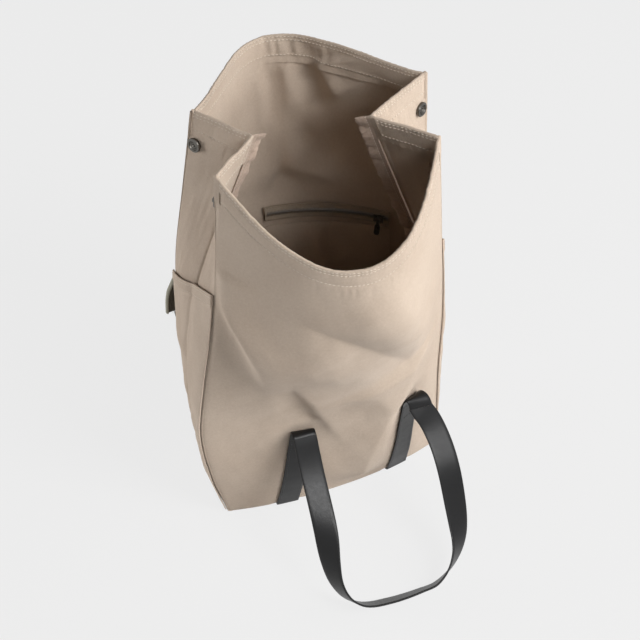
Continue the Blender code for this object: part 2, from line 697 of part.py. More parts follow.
def make_studs():
    """Socket on each rear gusset half and knob on each front half."""
    for side in ("left", "right"):
        for half, end in (("back", side == "left"), ("front", side == "right")):
            panel = side + "_gusset_" + half
            across = STUD_ACROSS_SHARE if end else 1 - STUD_ACROSS_SHARE
            normal = wall_frame(panel, across, STUD_UP_SHARE)[2]
            seat = skin(panel, across, STUD_UP_SHARE, -STUD_SEAT)
            rim = STUD_RADIUS - STUD_RIM
            if half == "back":
                profile = ((0, 0), (STUD_RADIUS, 0), (STUD_RADIUS, STUD_HEIGHT - STUD_RIM / 2),
                           (STUD_RADIUS - STUD_RIM / 2, STUD_HEIGHT), (rim, STUD_HEIGHT - STUD_RIM / 4),
                           (KNOB_RADIUS + STUD_RIM / 2, STUD_HEIGHT - STUD_WELL / 2),
                           (KNOB_RADIUS, STUD_HEIGHT - STUD_WELL), (0, STUD_HEIGHT - STUD_WELL))
                name = side + "_snap_socket"
            else:
                profile = ((0, 0), (STUD_RADIUS, 0), (STUD_RADIUS, STUD_RIM / 2), (rim, STUD_RIM),
                           (KNOB_RADIUS, STUD_RIM), (KNOB_RADIUS, STUD_RIM + KNOB_HEIGHT * 3 / 4),
                           (KNOB_RADIUS * 3 / 4, STUD_RIM + KNOB_HEIGHT), (0, STUD_RIM + KNOB_HEIGHT))
                name = side + "_snap_knob"
            turned(name, "gunmetal", seat, normal, profile)


def facet_point(panel, across, row, depth):
    """Point at a depth inside the flat facets of a wall, rather than inside its true curve."""
    columns, rows = columns_of(panel), wall_rows()
    i = max(k for k in range(len(columns) - 1) if columns[k] <= across)
    j = max(k for k in range(len(rows) - 1) if rows[k] <= row)
    u = (across - columns[i]) / (columns[i + 1] - columns[i])
    v = (row - rows[j]) / (rows[j + 1] - rows[j])
    low, high = [(1 - u) * skin(panel, columns[i], r, depth) + u * skin(panel, columns[i + 1], r, depth)
                 for r in (rows[j], rows[j + 1])]
    return (1 - v) * low + v * high


def zip_cone():
    """Cone about an upright axis that the zip follows just inside the back wall.

    Returns its axis, its radius at the zip's level, its slope and the angles of the two ends.
    """
    row = row_of_height(ZIP_LEVEL)
    first, last = ZIP_SPAN_SHARES
    shares = [first + (last - first) * k / ZIP_STATIONS for k in range(ZIP_STATIONS + 1)]
    half = TAPE_WIDTH / 2 / HEIGHT
    low, wall, high = [[facet_point("back_panel", s, row + rise, ZIP_DEPTH) for s in shares]
                       for rise in (-half, 0.0, half)]
    a, b, c = wall[0][:2], wall[ZIP_STATIONS // 2][:2], wall[-1][:2]
    matrix = 2 * np.array([b - a, c - a])
    centre = np.linalg.solve(matrix, np.array([b @ b - a @ a, c @ c - a @ a]))

    def reach(point):
        return np.linalg.norm(point[:2] - centre)

    slope = sum((reach(h) - reach(l)) / (h[2] - l[2]) for l, h in zip(low, high)) / len(shares)
    radius = min(reach(p) - slope * (p[2] - ZIP_LEVEL) for line in (low, wall, high) for p in line)
    ends = [math.atan2(p[1] - centre[1], p[0] - centre[0]) for p in (a, c)]
    return centre, radius, slope, ends[0], ends[1]


def zip_frame(angle):
    """Point on the cone at the zip's level, and the ways up it, into the bag and along it."""
    centre, radius, slope, _, _ = zip_cone()
    away = np.array([math.cos(angle), math.sin(angle), 0.0])
    place = np.array([centre[0], centre[1], ZIP_LEVEL]) + away * radius
    up = unit(np.array([0, 0, 1.0]) + away * slope)
    inward = unit(np.array([0, 0, slope]) - away)
    return place, up, inward, np.cross(up, inward)


def make_arc_strip(name, colour, angles, inset, thickness, width):
    """Strip round the cone, its middle on the zip's level."""
    frames = [zip_frame(t) for t in angles]
    grids = [[[place + up * rise + inward * depth for place, up, inward, _ in frames]
              for rise in (-width / 2, width / 2)] for depth in (inset, inset + thickness)]
    return slab(name, colour, *grids)


def make_zip():
    """Tape, coil, slider and puller of the inner pocket, and its pouch cloth below."""
    centre, radius, _, start, end = zip_cone()
    angles = [start + (end - start) * k / ZIP_STATIONS for k in range(ZIP_STATIONS + 1)]
    make_arc_strip("zip_tape", "zip_tape", angles, 0.0, TAPE_CLOTH, TAPE_WIDTH)
    make_arc_strip("zip_coil", "zip_tape", angles, TAPE_CLOTH + SEAM_GAP, COIL_DEPTH, COIL_WIDTH)

    swing = math.copysign(SLIDER_LENGTH / radius, end - start)
    near = start + swing
    slider = [near + swing * k / 4 for k in (-2, -1, 0, 1, 2)]
    inset = TAPE_CLOTH + COIL_DEPTH + 2 * SEAM_GAP
    body = make_arc_strip("zip_slider", "gunmetal", slider, inset, SLIDER_WALL, SLIDER_HEIGHT)
    put_origin(body, np.array([centre[0], centre[1], ZIP_LEVEL]))

    place, up, inward, along = zip_frame(near)
    pin = place + inward * (inset + SLIDER_WALL + SEAM_GAP + PULLER_PIN / 2)
    sections = [box_section(pin - up * PULLER_LENGTH * s, along, inward, w * PULLER_WIDTH / 2,
                            PULLER_METAL / 2) for s, w in PULLER_SHARES]
    put_origin(rod("zip_puller", "gunmetal", sections), pin)

    first, last = ZIP_SPAN_SHARES
    top = row_of_height(ZIP_LEVEL - TAPE_WIDTH / 2 - POUCH_DROP)
    bottom = row_of_height(ZIP_LEVEL - POUCH_DEPTH)
    rows = lines_within(wall_rows(), bottom, top)
    columns = lines_within(face_columns("back_panel"), first, last)
    grids = [[[facet_point("back_panel", c, r, depth) for c in columns] for r in rows]
             for depth in (ZIP_DEPTH, ZIP_DEPTH + FACING_CLOTH)]
    slab("zip_pouch", "facing", *grids)


def pad_stations(side):
    """Points, outward normals, width directions and thinning down one shoulder pad."""
    route = smooth_route([(a * BASE_WIDTH, up * HEIGHT, off * PAD_STANDOFF)
                          for a, up, off in PAD_SHARES], PAD_STATIONS)
    stations = []
    for i, (a, up, off) in enumerate(route):
        across = a / BASE_WIDTH if side == "left" else 1 - a / BASE_WIDTH
        level = up / HEIGHT
        along, rise, normal = wall_frame("back_panel", across, level)
        thinning = 1 - PAD_TOP_THINNING * max(0.0, 1 - i / PAD_TAPER_STATIONS)
        gap = 2 * SEAM_GAP + PAD_THICKNESS / 2 * thinning + off
        place = wall_point("back_panel", across, level) + normal * gap
        stations.append((place, normal, along, thinning))
    return stations


def make_pad(side):
    """Padded strap with rounded edges, drawn flat at its sewn top."""
    stations = pad_stations(side)
    sections = []
    for i, (point, normal, along, thinning) in enumerate(stations):
        end = len(stations) - 1 - i
        width = PAD_WIDTH / 2 * (1 - PAD_END_NARROWING * max(0.0, 1 - end / PAD_TAPER_STATIONS))
        section = []
        for k in range(PAD_SIDES):
            t = 2 * math.pi * (k + 0.5) / PAD_SIDES
            c, s = math.cos(t), math.sin(t)
            c = math.copysign(abs(c) ** PAD_SQUARENESS[0], c)
            s = math.copysign(abs(s) ** PAD_SQUARENESS[1], s)
            section.append(point + along * width * c + normal * PAD_THICKNESS / 2 * thinning * s)
        sections.append(section)
    rod(side + "_shoulder_pad", "canvas", sections, smooth=math.radians(60))


def web_line(side):
    """Straight webbing from the end of the pad to its anchor: ends, and its three directions."""
    point, normal, _, _ = pad_stations(side)[-1]
    across = ANCHOR_ACROSS_SHARE if side == "left" else 1 - ANCHOR_ACROSS_SHARE
    along, _, anchor_normal = wall_frame("back_panel", across, ANCHOR_UP_SHARE)
    foot = wall_point("back_panel", across, ANCHOR_UP_SHARE)
    foot = foot + anchor_normal * (ANCHOR_CLOTH + 4 * SEAM_GAP + WEB_CLOTH / 2)
    direction = unit(foot - point)
    width = unit(along - direction * (along @ direction))
    face = unit(np.cross(width, direction))
    if face @ normal < 0:
        face = -face
    start = point + direction * (SEAM_GAP + PAD_THICKNESS / 4)
    return start, foot, direction, width, face


def make_webbing(side):
    start, foot, direction, width, face = web_line(side)
    sections = [box_section(p, width, face, WEB_WIDTH / 2, WEB_CLOTH / 2) for p in (start, foot)]
    rod(side + "_webbing", "webbing", sections)

    across = ANCHOR_ACROSS_SHARE if side == "left" else 1 - ANCHOR_ACROSS_SHARE
    half = ANCHOR_SIDE / 2 / BASE_WIDTH
    rise = ANCHOR_SIDE / 2 / HEIGHT
    rows = lines_within(wall_rows(), ANCHOR_UP_SHARE - rise, ANCHOR_UP_SHARE + rise)
    columns = lines_within(face_columns("back_panel"), across - half, across + half)
    grids = [[[skin("back_panel", c, r, -SEAM_GAP - d) for c in columns] for r in rows]
             for d in (ANCHOR_CLOTH + SEAM_GAP, SEAM_GAP)]
    slab(side + "_strap_anchor", "canvas", *grids)


def make_adjuster(side):
    """Three-bar slide: outer bars in front of the webbing, middle bar behind it."""
    start, foot, direction, width, face = web_line(side)
    centre = start + (foot - start) * ADJUSTER_SHARE
    half_bar = WEB_WIDTH / 2 + SEAM_GAP + ADJUSTER_RAIL
    lift = WEB_CLOTH / 2 + SEAM_GAP + ADJUSTER_PLATE / 2

    def block(middle, half_width, half_length, half_face):
        low = middle - direction * half_length
        high = middle + direction * half_length
        return [box_section(p, width, face, half_width, half_face) for p in (low, high)]

    rail_middle = WEB_WIDTH / 2 + SEAM_GAP + ADJUSTER_RAIL / 2
    blocks = [block(centre + width * s * rail_middle, ADJUSTER_RAIL / 2, ADJUSTER_LENGTH / 2,
                    lift + ADJUSTER_PLATE / 2) for s in (-1, 1)]
    reach = (ADJUSTER_LENGTH - ADJUSTER_BAR) / 2
    for place, height in ((-reach, lift), (reach, lift), (0.0, -lift)):
        blocks.append(block(centre + direction * place + face * height, half_bar - SEAM_GAP,
                            ADJUSTER_BAR / 2, ADJUSTER_PLATE / 2 - SEAM_GAP / 4))
    body = put_origin(rod(side + "_adjuster", "gunmetal", blocks[0], smooth=None), centre)
    for i, sections in enumerate(blocks[1:]):
        other = rod("%s_adjuster_part_%d" % (side, i), "gunmetal", sections, smooth=None)
        other.hide_render = True
        other.display_type = "WIRE"
        union = body.modifiers.new("Join", "BOOLEAN")
        union.operation = "UNION"
        union.object = other


def make_yoke():
    """Doubled cloth band that holds the tops of both shoulder straps to the back wall."""
    rise = YOKE_WIDTH / 2 / HEIGHT
    row = PAD_SHARES[0][1] + rise + 2 * SEAM_GAP / HEIGHT
    reach = YOKE_LENGTH / 2 / BASE_WIDTH
    shares = lines_within(face_columns("back_panel"), 0.5 - reach, 0.5 + reach)
    rows = lines_within(wall_rows(), row - rise, row + rise)
    grids = [[[skin("back_panel", c, r, -d) for c in shares] for r in rows]
             for d in (2 * SEAM_GAP + YOKE_CLOTH, 2 * SEAM_GAP)]
    slab("strap_yoke", "canvas", *grids)


def make_materials():
    made = {}
    for name, (colour, roughness, metallic) in COLOURS.items():
        material = bpy.data.materials.new(name)
        material.use_nodes = True
        shader = material.node_tree.nodes["Principled BSDF"]
        shader.inputs["Base Color"].default_value = (*colour, 1.0)
        shader.inputs["Roughness"].default_value = roughness
        shader.inputs["Metallic"].default_value = metallic
        made[name] = material
    return made


for old in list(bpy.data.objects):
    bpy.data.objects.remove(old, do_unlink=True)
MATERIALS = make_materials()
make_walls()
make_base()
make_bindings()
for bag_side in ("left", "right"):
    make_side_pocket(bag_side)
    make_strap_run(bag_side)
    make_pad(bag_side)
    make_webbing(bag_side)
    make_adjuster(bag_side)
make_loop("front_panel")
make_loop("back_panel")
make_studs()
make_zip()
make_yoke()
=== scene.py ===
"""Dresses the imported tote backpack: canvas walls, leather straps, press studs, zip and shoulder straps."""

import math

import bmesh
import bpy
import numpy as np
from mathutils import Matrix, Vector


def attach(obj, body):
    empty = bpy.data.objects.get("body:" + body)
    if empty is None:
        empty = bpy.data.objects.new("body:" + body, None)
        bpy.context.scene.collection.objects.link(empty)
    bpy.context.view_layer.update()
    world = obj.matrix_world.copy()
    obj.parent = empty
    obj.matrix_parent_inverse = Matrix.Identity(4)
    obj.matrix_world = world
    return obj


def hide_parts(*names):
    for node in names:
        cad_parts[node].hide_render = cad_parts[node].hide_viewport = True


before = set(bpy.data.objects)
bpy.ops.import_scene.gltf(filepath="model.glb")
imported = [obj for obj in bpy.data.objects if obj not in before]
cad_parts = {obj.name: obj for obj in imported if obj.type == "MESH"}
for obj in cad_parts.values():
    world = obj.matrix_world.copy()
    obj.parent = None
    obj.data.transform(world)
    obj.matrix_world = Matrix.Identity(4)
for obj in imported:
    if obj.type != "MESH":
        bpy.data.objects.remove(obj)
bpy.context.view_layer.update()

# Body of the bag, in metres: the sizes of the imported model
HEIGHT, BASE_WIDTH, BASE_DEPTH = 0.500, 0.270, 0.130
HALF_WIDTH, HALF_DEPTH = BASE_WIDTH / 2, BASE_DEPTH / 2
CANVAS = 0.0014
SEAM_GAP = 0.0003
HEEL_RADIUS = 0.007
FACING_DEPTH = 0.030
RIM = 0.0034  # thickness of the folded hem round the mouth
HEM_STEP = 0.0006  # over which the hem's lower edge drops to the single cloth

RIM_ROWS, FACING_ROW = (0.0020, 0.0056), 0.0212  # stitching below the mouth's edge

STRAP_WIDTH, STRAP_LEATHER = 0.026, 0.0022
STRAP_CLEAR, PLATEAU_CLEAR, RAMP_LENGTH = 0.0006, 0.0026, 0.005
SEWN_HEIGHT = 0.141
FOLD_RADIUS = 0.006
HANDLE_DROP = 0.200
FOLD_ARCH = {"left": 0.0, "right": 0.007}
STRAP_FOOT_SHARES = {"left": -0.464, "right": 0.541}
STRAP_TOP_SHARES = {"left": -0.322, "right": 0.600}
STEEPEST_SHARE = 0.98

LEVEL_SHARES = np.array((0.0, 0.06, 0.13, 0.30, 0.45, 0.62, 0.80, 1.0))
CORNER_SHARES = {
    "front_left": ((-0.978, -1.02, -1.07, -1.122, -1.045, -0.925, -0.845, -0.782),
                   (-0.95, -0.945, -0.93, -0.83, -0.69, -0.50, -0.29, -0.046)),
    "front_right": ((0.965, 0.955, 0.935, 0.913, 0.92, 0.905, 0.867, 0.823),
                    (-0.61, -0.61, -0.595, -0.557, -0.50, -0.42, -0.34, -0.246)),
    "right_fold": ((0.99, 1.0, 1.02, 1.04, 1.0, 0.86, 0.66, 0.437),
                   (0.17, 0.16, 0.15, 0.14, 0.13, 0.16, 0.28, 0.43)),
    "back_right": ((0.98, 0.985, 0.985, 0.98, 0.97, 0.955, 0.95, 0.948),
                   (0.95, 0.95, 0.93, 0.86, 0.80, 0.78, 0.88, 1.06)),
    "back_left": ((-0.98, -1.0, -1.02, -1.045, -1.05, -1.01, -0.90, -0.78),
                  (1.0, 1.02, 1.03, 1.07, 1.13, 1.18, 1.25, 1.306)),
    "left_fold": ((-1.0, -1.04, -1.06, -1.08, -1.06, -0.95, -0.72, -0.444),
                  (0.03, 0.04, 0.05, 0.12, 0.20, 0.33, 0.45, 0.554)),
}
RING = tuple(CORNER_SHARES)
FLAT, HALF, SQUARE, ONE = ((x,) * len(LEVEL_SHARES) for x in (0.0, 0.5, 2.0, 1.0))
GUSSET_BOW_SHARES = (0.03, 0.04, 0.05, 0.05, 0.05, 0.03, 0, 0)
PANELS = {
    "front_panel": dict(out=(0, -1), bow=(0.26, 0.34, 0.42, 0.50, 0.76, 1.22, 1.385, 1.47),
                        sag=(0, 0, 0, 0, 0.025, 0.056, 0.09, 0.12),
                        crest=(0.55, 0.60, 0.66, 0.74, 0.62, 0.53, 0.52, 0.52),
                        roundness=(2.2, 2.0, 1.6, 1.25, 1.7, 2.1, 2.2, 2.2), fall=ONE),
    "right_gusset_front": dict(out=(1, 0), bow=GUSSET_BOW_SHARES),
    "right_gusset_back": dict(out=(1, 0), bow=GUSSET_BOW_SHARES),
    "back_panel": dict(out=(0, 1), bow=(0.07, 0.09, 0.12, 0.19, 0.42, 0.82, 1.31, 1.68),
                       sag=(0, 0, 0, 0, 0.006, 0.016, 0.026, 0.04),
                       crest=(0.5, 0.5, 0.5, 0.5, 0.52, 0.54, 0.55, 0.55), roundness=SQUARE,
                       fall=(1, 1, 1, 1, 1.2, 1.4, 1.5, 1.5)),
    "left_gusset_back": dict(out=(-1, 0), bow=GUSSET_BOW_SHARES),
    "left_gusset_front": dict(out=(-1, 0), bow=GUSSET_BOW_SHARES),
}
PANEL_NAMES = tuple(PANELS)


# Shape of the bag

def unit(vectors):
    return vectors / np.linalg.norm(vectors, axis=-1, keepdims=True)


def matched(*values):
    """The same values as arrays of one shape."""
    return np.broadcast_arrays(*(np.asarray(k, float) for k in values))


def run_along(points):
    """Length of a line up to each of its points."""
    return np.concatenate([[0], np.cumsum(np.linalg.norm(np.diff(points, axis=0), axis=1))])


def bell(value, middle, width):
    """1 at the middle, and close to 0 beyond two widths."""
    return np.exp(-((value - middle) / width) ** 2)


def smooth(low, high, value):
    """0 before low, 1 after high, and an even curve between."""
    t = np.clip((value - low) / (high - low), 0, 1)
    return t * t * (3 - 2 * t)


def level_basis(v):
    """Weights of the values listed at LEVEL_SHARES, for a smooth curve through them."""
    levels, unit_rows = LEVEL_SHARES, np.eye(len(LEVEL_SHARES))
    v = np.asarray(v, float)
    i = np.searchsorted(levels[1:-1], v, side="left")
    ends = np.arange(len(levels))
    low, high = np.maximum(ends - 1, 0), np.minimum(ends + 1, len(levels) - 1)
    slopes = (unit_rows[high] - unit_rows[low]) / (levels[high] - levels[low])[:, None]
    span = (levels[i + 1] - levels[i])[..., None]
    t = ((v - levels[i])[..., None]) / span
    return ((2 * t**3 - 3 * t**2 + 1) * unit_rows[i] + (t**3 - 2 * t**2 + t) * span * slopes[i]
            + (3 * t**2 - 2 * t**3) * unit_rows[i + 1] + (t**3 - t**2) * span * slopes[i + 1])


def wall_table(i, rule):
    """Corner places and hump values of one wall, a column each, at LEVEL_SHARES."""
    ends = [np.asarray(CORNER_SHARES[RING[k % len(RING)]][axis]) * half
            for k in (i, i + 1) for axis, half in ((0, HALF_WIDTH), (1, HALF_DEPTH))]
    rest = (rule.get("crest", HALF), rule.get("roundness", SQUARE), rule.get("fall", ONE), rule["bow"],
            rule.get("sag", FLAT))
    return np.stack([*ends, *(np.asarray(values, float) for values in rest)], axis=1)


WALL_TABLES = {panel: wall_table(i, rule) for i, (panel, rule) in enumerate(PANELS.items())}


def wall(panel, u, v):
    """Plain outer face of a wall, u across it and v up it, both from 0 to 1."""
    u, v = matched(u, v)
    values = level_basis(v) @ WALL_TABLES[panel]
    crest, roundness, fall, bow, sag = (values[..., k] for k in range(4, 9))
    away = np.where(u < crest, (u - crest) / crest, (u - crest) / (1 - crest))
    hump = np.clip(1 - np.abs(away) ** roundness, 0, None) ** fall
    out = PANELS[panel]["out"]
    point = np.empty(u.shape + (3,))
    for axis in (0, 1):
        point[..., axis] = (values[..., axis] + (values[..., 2 + axis] - values[..., axis]) * u
                            + out[axis] * bow * HALF_DEPTH * hump)
    point[..., 2] = HEEL_RADIUS + v * (HEIGHT - HEEL_RADIUS) - sag * HEIGHT * hump
    return point


def plain_normal(panel, u, v):
    step = 1e-3
    u, v = matched(u, v)
    along = wall(panel, np.minimum(u + step, 1), v) - wall(panel, np.maximum(u - step, 0), v)
    up = wall(panel, u, np.minimum(v + step, 1)) - wall(panel, u, np.maximum(v - step, 0))
    return unit(np.cross(along, up))


def row_of(height):
    return (height - HEEL_RADIUS) / (HEIGHT - HEEL_RADIUS)


# Folds, creases and puckers of the cloth

FACE_SPAN, GUSSET_SPAN = 0.28, 0.085  # widths over which the folds' places are stated
BACK_SHIFT = 0.0050  # how far the upper back wall has sunk into the bag
THREAD_DIP, SEAM_GROOVE, CORNER_PINCH = 0.0004, 0.0011, 0.0009  # depths where stitching draws cloth in
STRAP_CALM, STRAP_REACH = 0.75, 0.022  # share of the folds that a sewn strap flattens, and how far off


def fold(path, height, left, right, ends=(0.25, 0.25), power=2.0, narrow=0.0):
    """One fold: it follows places on its wall, in shares across and up, rises by a height (negative
    for a crease) and falls off over one reach on the left of its way and another on its right. A
    reach may be a pair, for the first and the second half. A fold may narrow towards its ends."""
    left, right = (r if isinstance(r, tuple) else (r, r) for r in (left, right))
    return dict(path=path, height=height, left=left, right=right, ends=ends, power=power, narrow=narrow)


FOLDS = {
    "front_panel": [
        # roll of cloth that runs down from the left seam, and the hollow under it
        fold(((-0.02, 0.78), (0.04, 0.715), (0.105, 0.67), (0.155, 0.61), (0.20, 0.53), (0.24, 0.44)),
             0.0112, 0.030, 0.011, ends=(0.02, 0.6), power=1.6),
        fold(((-0.01, 0.68), (0.04, 0.645), (0.09, 0.59), (0.125, 0.52), (0.15, 0.44)),
             -0.0032, 0.014, 0.022, ends=(0.05, 0.7)),
        # crease under the bulge of the mouth, sharp where it meets the long ridge
        fold(((0.20, 0.83), (0.275, 0.805), (0.45, 0.762), (0.605, 0.675), (0.71, 0.575), (0.812, 0.460)),
             -0.0120, 0.026, 0.062, ends=(0.6, 0.08), power=1.25, narrow=0.85),
        fold(((0.42, 0.95), (0.56, 0.86), (0.68, 0.76), (0.77, 0.62)), 0.0060, 0.034, 0.030,
             ends=(0.3, 0.2)),
        # long ridge from the lip past the right strap and on to the base
        fold(((0.60, 0.99), (0.66, 0.88), (0.735, 0.76), (0.785, 0.64), (0.807, 0.53), (0.807, 0.45),
              (0.79, 0.372), (0.753, 0.302), (0.708, 0.23), (0.647, 0.145), (0.583, 0.043), (0.56, 0.0)),
             0.0122, (0.050, 0.032), (0.042, 0.045), ends=(0.22, 0.10), power=1.3),
        # crease above the left strap
        fold(((0.275, 0.54), (0.335, 0.45), (0.395, 0.375), (0.435, 0.31)), -0.0054, 0.007, 0.022,
             ends=(0.6, 0.05), power=1.5, narrow=0.5),
        fold(((0.315, 0.53), (0.395, 0.43), (0.465, 0.34), (0.535, 0.25), (0.595, 0.15)), 0.0050, 0.030,
             0.008, ends=(0.3, 0.5), power=1.6),
    ],
    "back_panel": [
        # long fold below the hem at the right, with its shadow on the left
        fold(((0.350, 0.965), (0.325, 0.93), (0.30, 0.905), (0.262, 0.875)), -0.0075, 0.010, 0.034,
             ends=(0.15, 0.3), power=1.4),
        fold(((0.375, 0.94), (0.36, 0.88), (0.35, 0.82)), 0.0040, 0.016, 0.012, ends=(0.3, 0.4)),
        fold(((0.10, 0.97), (0.15, 0.92), (0.20, 0.86)), 0.0040, 0.016, 0.016, ends=(0.3, 0.4)),
        # soft upright flutes at the left
        fold(((0.625, 0.95), (0.61, 0.88), (0.59, 0.78)), -0.0030, 0.012, 0.010, ends=(0.25, 0.4)),
        fold(((0.555, 0.94), (0.55, 0.87), (0.545, 0.79)), 0.0024, 0.010, 0.008, ends=(0.25, 0.4)),
        fold(((0.485, 0.95), (0.465, 0.88), (0.455, 0.80)), -0.0034, 0.009, 0.012, ends=(0.2, 0.4)),
        # hollow, ridge and second hollow above the zip
        fold(((0.47, 0.785), (0.40, 0.755), (0.32, 0.745), (0.25, 0.74)), 0.0070, 0.016, 0.016,
             ends=(0.3, 0.4)),
        fold(((0.53, 0.722), (0.46, 0.708), (0.40, 0.700), (0.345, 0.688), (0.27, 0.655)), -0.0085, 0.009,
             0.015, ends=(0.25, 0.45), power=1.5),
        fold(((0.555, 0.695), (0.50, 0.668), (0.43, 0.640)), 0.0065, 0.012, 0.010, ends=(0.3, 0.4)),
        # short ripples where the hem is drawn in
        *(fold(((a, 0.992), (a - 0.010, 0.950)), depth, 0.0034, 0.0046, ends=(0.3, 0.4), narrow=0.6)
          for a, depth in ((0.545, -0.0010), (0.508, -0.0015), (0.487, -0.0009), (0.440, -0.0013),
                           (0.366, -0.0012), (0.338, -0.0016), (0.300, -0.0009))),
    ],
}


def span_of(panel):
    return GUSSET_SPAN if "gusset" in panel else FACE_SPAN


def along_path(path, x, y):
    """Signed distance to a path, positive on its left, and the share of its length at the nearest place."""
    path = np.asarray(path, float)
    pieces = np.diff(path, axis=0)
    lengths = np.linalg.norm(pieces, axis=1)
    run = np.concatenate([[0], np.cumsum(lengths)])
    best = np.full(x.shape, np.inf)
    signed, share = np.zeros(x.shape), np.zeros(x.shape)
    for (px, py), (dx, dy), length, before in zip(path, pieces, lengths, run):
        t = np.clip(((x - px) * dx + (y - py) * dy) / length**2, 0, 1)
        away_x, away_y = x - px - t * dx, y - py - t * dy
        distance = np.hypot(away_x, away_y)
        nearer = distance < best
        side = np.where(dx * away_y - dy * away_x >= 0, 1.0, -1.0)
        best = np.where(nearer, distance, best)
        signed = np.where(nearer, side * distance, signed)
        share = np.where(nearer, (before + t * length) / run[-1], share)
    return signed, share


def rolling(x, y, seed, longest, count=10):
    """Soft unevenness from crossing waves, about -1 to 1."""
    rng = np.random.default_rng(seed)
    total = np.zeros(np.shape(x))
    for _ in range(count):
        angle, phase = rng.uniform(0, math.pi), rng.uniform(0, 2 * math.pi)
        length = longest * rng.uniform(0.35, 1.0)
        total += np.sin((x * math.cos(angle) + y * math.sin(angle)) * 2 * math.pi / length + phase)
    return total / math.sqrt(count * 2)


def strap_x(side, v):
    """Middle of a sewn strap across the bag at a height."""
    share = np.clip(v, 0, None) / row_of(SEWN_HEIGHT)
    return HALF_WIDTH * ((1 - share) * STRAP_FOOT_SHARES[side] + share * STRAP_TOP_SHARES[side])


def relief(panel, u, v):
    """How far the cloth stands off its plain form, outwards, in metres."""
    u, v = matched(u, v)
    span = span_of(panel)
    x, y = u * span, v * HEIGHT
    total = np.zeros(u.shape)
    for rule in FOLDS.get(panel, ()):
        signed, share = along_path(smoothed([(a * span, b * HEIGHT) for a, b in rule["path"]]), x, y)
        first, last = rule["ends"]
        ends = smooth(0, first, share) * smooth(0, last, 1 - share)
        (a, b), (c, d) = rule["left"], rule["right"]
        later = smooth(0.38, 0.66, share)
        reach = np.where(signed > 0, a + (b - a) * later, c + (d - c) * later)
        reach = reach * (1 - rule["narrow"] * (1 - ends))
        total += rule["height"] * np.exp(-np.abs(signed / reach) ** rule["power"]) * ends
    if panel == "back_panel":
        total -= BACK_SHIFT * smooth(0.64, 0.70, v) * (1 - smooth(0.875, 0.975, v))
        total = np.where(v < 0.88, np.minimum(total, 0.0003), total)
    seed = PANEL_NAMES.index(panel)
    total += 0.0007 * rolling(x, y, seed + 11, 0.11) + 0.00022 * rolling(x, y, seed + 31, 0.035)
    if panel in ("front_panel", "back_panel"):
        place = wall(panel, u, v)
        for side in STRAP_FOOT_SHARES:
            away = np.hypot(place[..., 0] - strap_x(side, v), np.clip(y - SEWN_HEIGHT, 0, None))
            total *= 1 - STRAP_CALM * np.exp(-((away / STRAP_REACH) ** 4))

    from_top = (1 - v) * HEIGHT
    for row in (*RIM_ROWS, FACING_ROW):
        total -= THREAD_DIP * bell(from_top, row, 0.0011) * (1 + 0.5 * np.sin(x * 2 * math.pi / 0.0042))
    near_hem = bell(from_top, FACING_DEPTH, 0.006) + bell(from_top, 0, 0.010)
    total += 0.00028 * near_hem * rolling(x * 3.2, y * 0.5, seed + 51, 0.045)

    if panel == "back_panel":
        total = np.where((v > 0.02) & (v < 0.88), np.minimum(total, 0.0004), total)
    from_seam = np.minimum(u, 1 - u) * span
    total *= smooth(0, 0.016, from_seam) * smooth(0, 0.05, v)
    groove = SEAM_GROOVE * bell(from_seam, 0, 0.0022) * (1 - smooth(0.93, 0.97, v))
    pinch = CORNER_PINCH * bell(from_seam, 0.0040, 0.0016) * smooth(0.935, 0.95, v)
    return total - groove - pinch


def smoothed(points, count=36):
    """The same path with its corners rounded."""
    points = np.asarray(points, float)
    run = run_along(points)
    at = np.linspace(0, run[-1], count)
    line = np.stack([np.interp(at, run, points[:, k]) for k in (0, 1)], axis=1)
    for _ in range(10):
        line[1:-1] = (line[:-2] + 2 * line[1:-1] + line[2:]) / 4
    return line


def base_lift(x):
    """Rise of the cloth over the straps that pass under the base."""
    rise = np.zeros(np.shape(x))
    for share in STRAP_FOOT_SHARES.values():
        beyond = np.abs(x - share * HALF_WIDTH) - STRAP_WIDTH / 2 - PLATEAU_CLEAR
        rise = np.maximum(rise, np.clip(1 - beyond / RAMP_LENGTH, 0, 1))
    return rise * (STRAP_LEATHER + STRAP_CLEAR)


def mitred(panel, u, v, normals, normal_of):
    """Offset directions that meet the neighbouring wall's at the two seams."""
    i = PANEL_NAMES.index(panel)
    out = np.array(normals)
    for edge, other, far in ((0.0, PANEL_NAMES[i - 1], 1.0),
                             (1.0, PANEL_NAMES[(i + 1) % len(PANEL_NAMES)], 0.0)):
        beside = normal_of(other, np.full(np.shape(v), far), v)
        cosine = np.sum(normals * beside, axis=-1, keepdims=True)
        joined = (normals + beside) / (1 + cosine)
        out = np.where((u == edge)[..., None], joined, out)
    return out


def cloth(panel, u, v, depth=0.0):
    """Place on the folded cloth at a depth inside its outer face. Rows below 0 turn round the heel."""
    u, v, depth = matched(u, v, depth)
    level = np.maximum(v, 0)
    point, normal = wall(panel, u, level), plain_normal(panel, u, level)
    outward = mitred(panel, u, level, normal, plain_normal)
    upper = point + normal * relief(panel, u, level)[..., None] - outward * depth[..., None]

    def level_normal(name, a, b):
        step = 1e-3
        ends = [wall(name, np.clip(a + s * step, 0, 1), 0 * b) for s in (1, -1)]
        along = unit(ends[0] - ends[1])
        return np.stack([along[..., 1], -along[..., 0], 0 * along[..., 0]], axis=-1)

    flat = mitred(panel, u, level, level_normal(panel, u, level), level_normal)
    turn = np.clip(-v, 0, 1) * math.pi / 2
    inner = HEEL_RADIUS - depth
    heel = wall(panel, u, 0 * level) - flat * (HEEL_RADIUS - inner * np.cos(turn))[..., None]
    heel[..., 2] = HEEL_RADIUS - inner * np.sin(turn) + base_lift(heel[..., 0]) * np.sin(turn)
    return np.where((v < 0)[..., None], heel, upper)


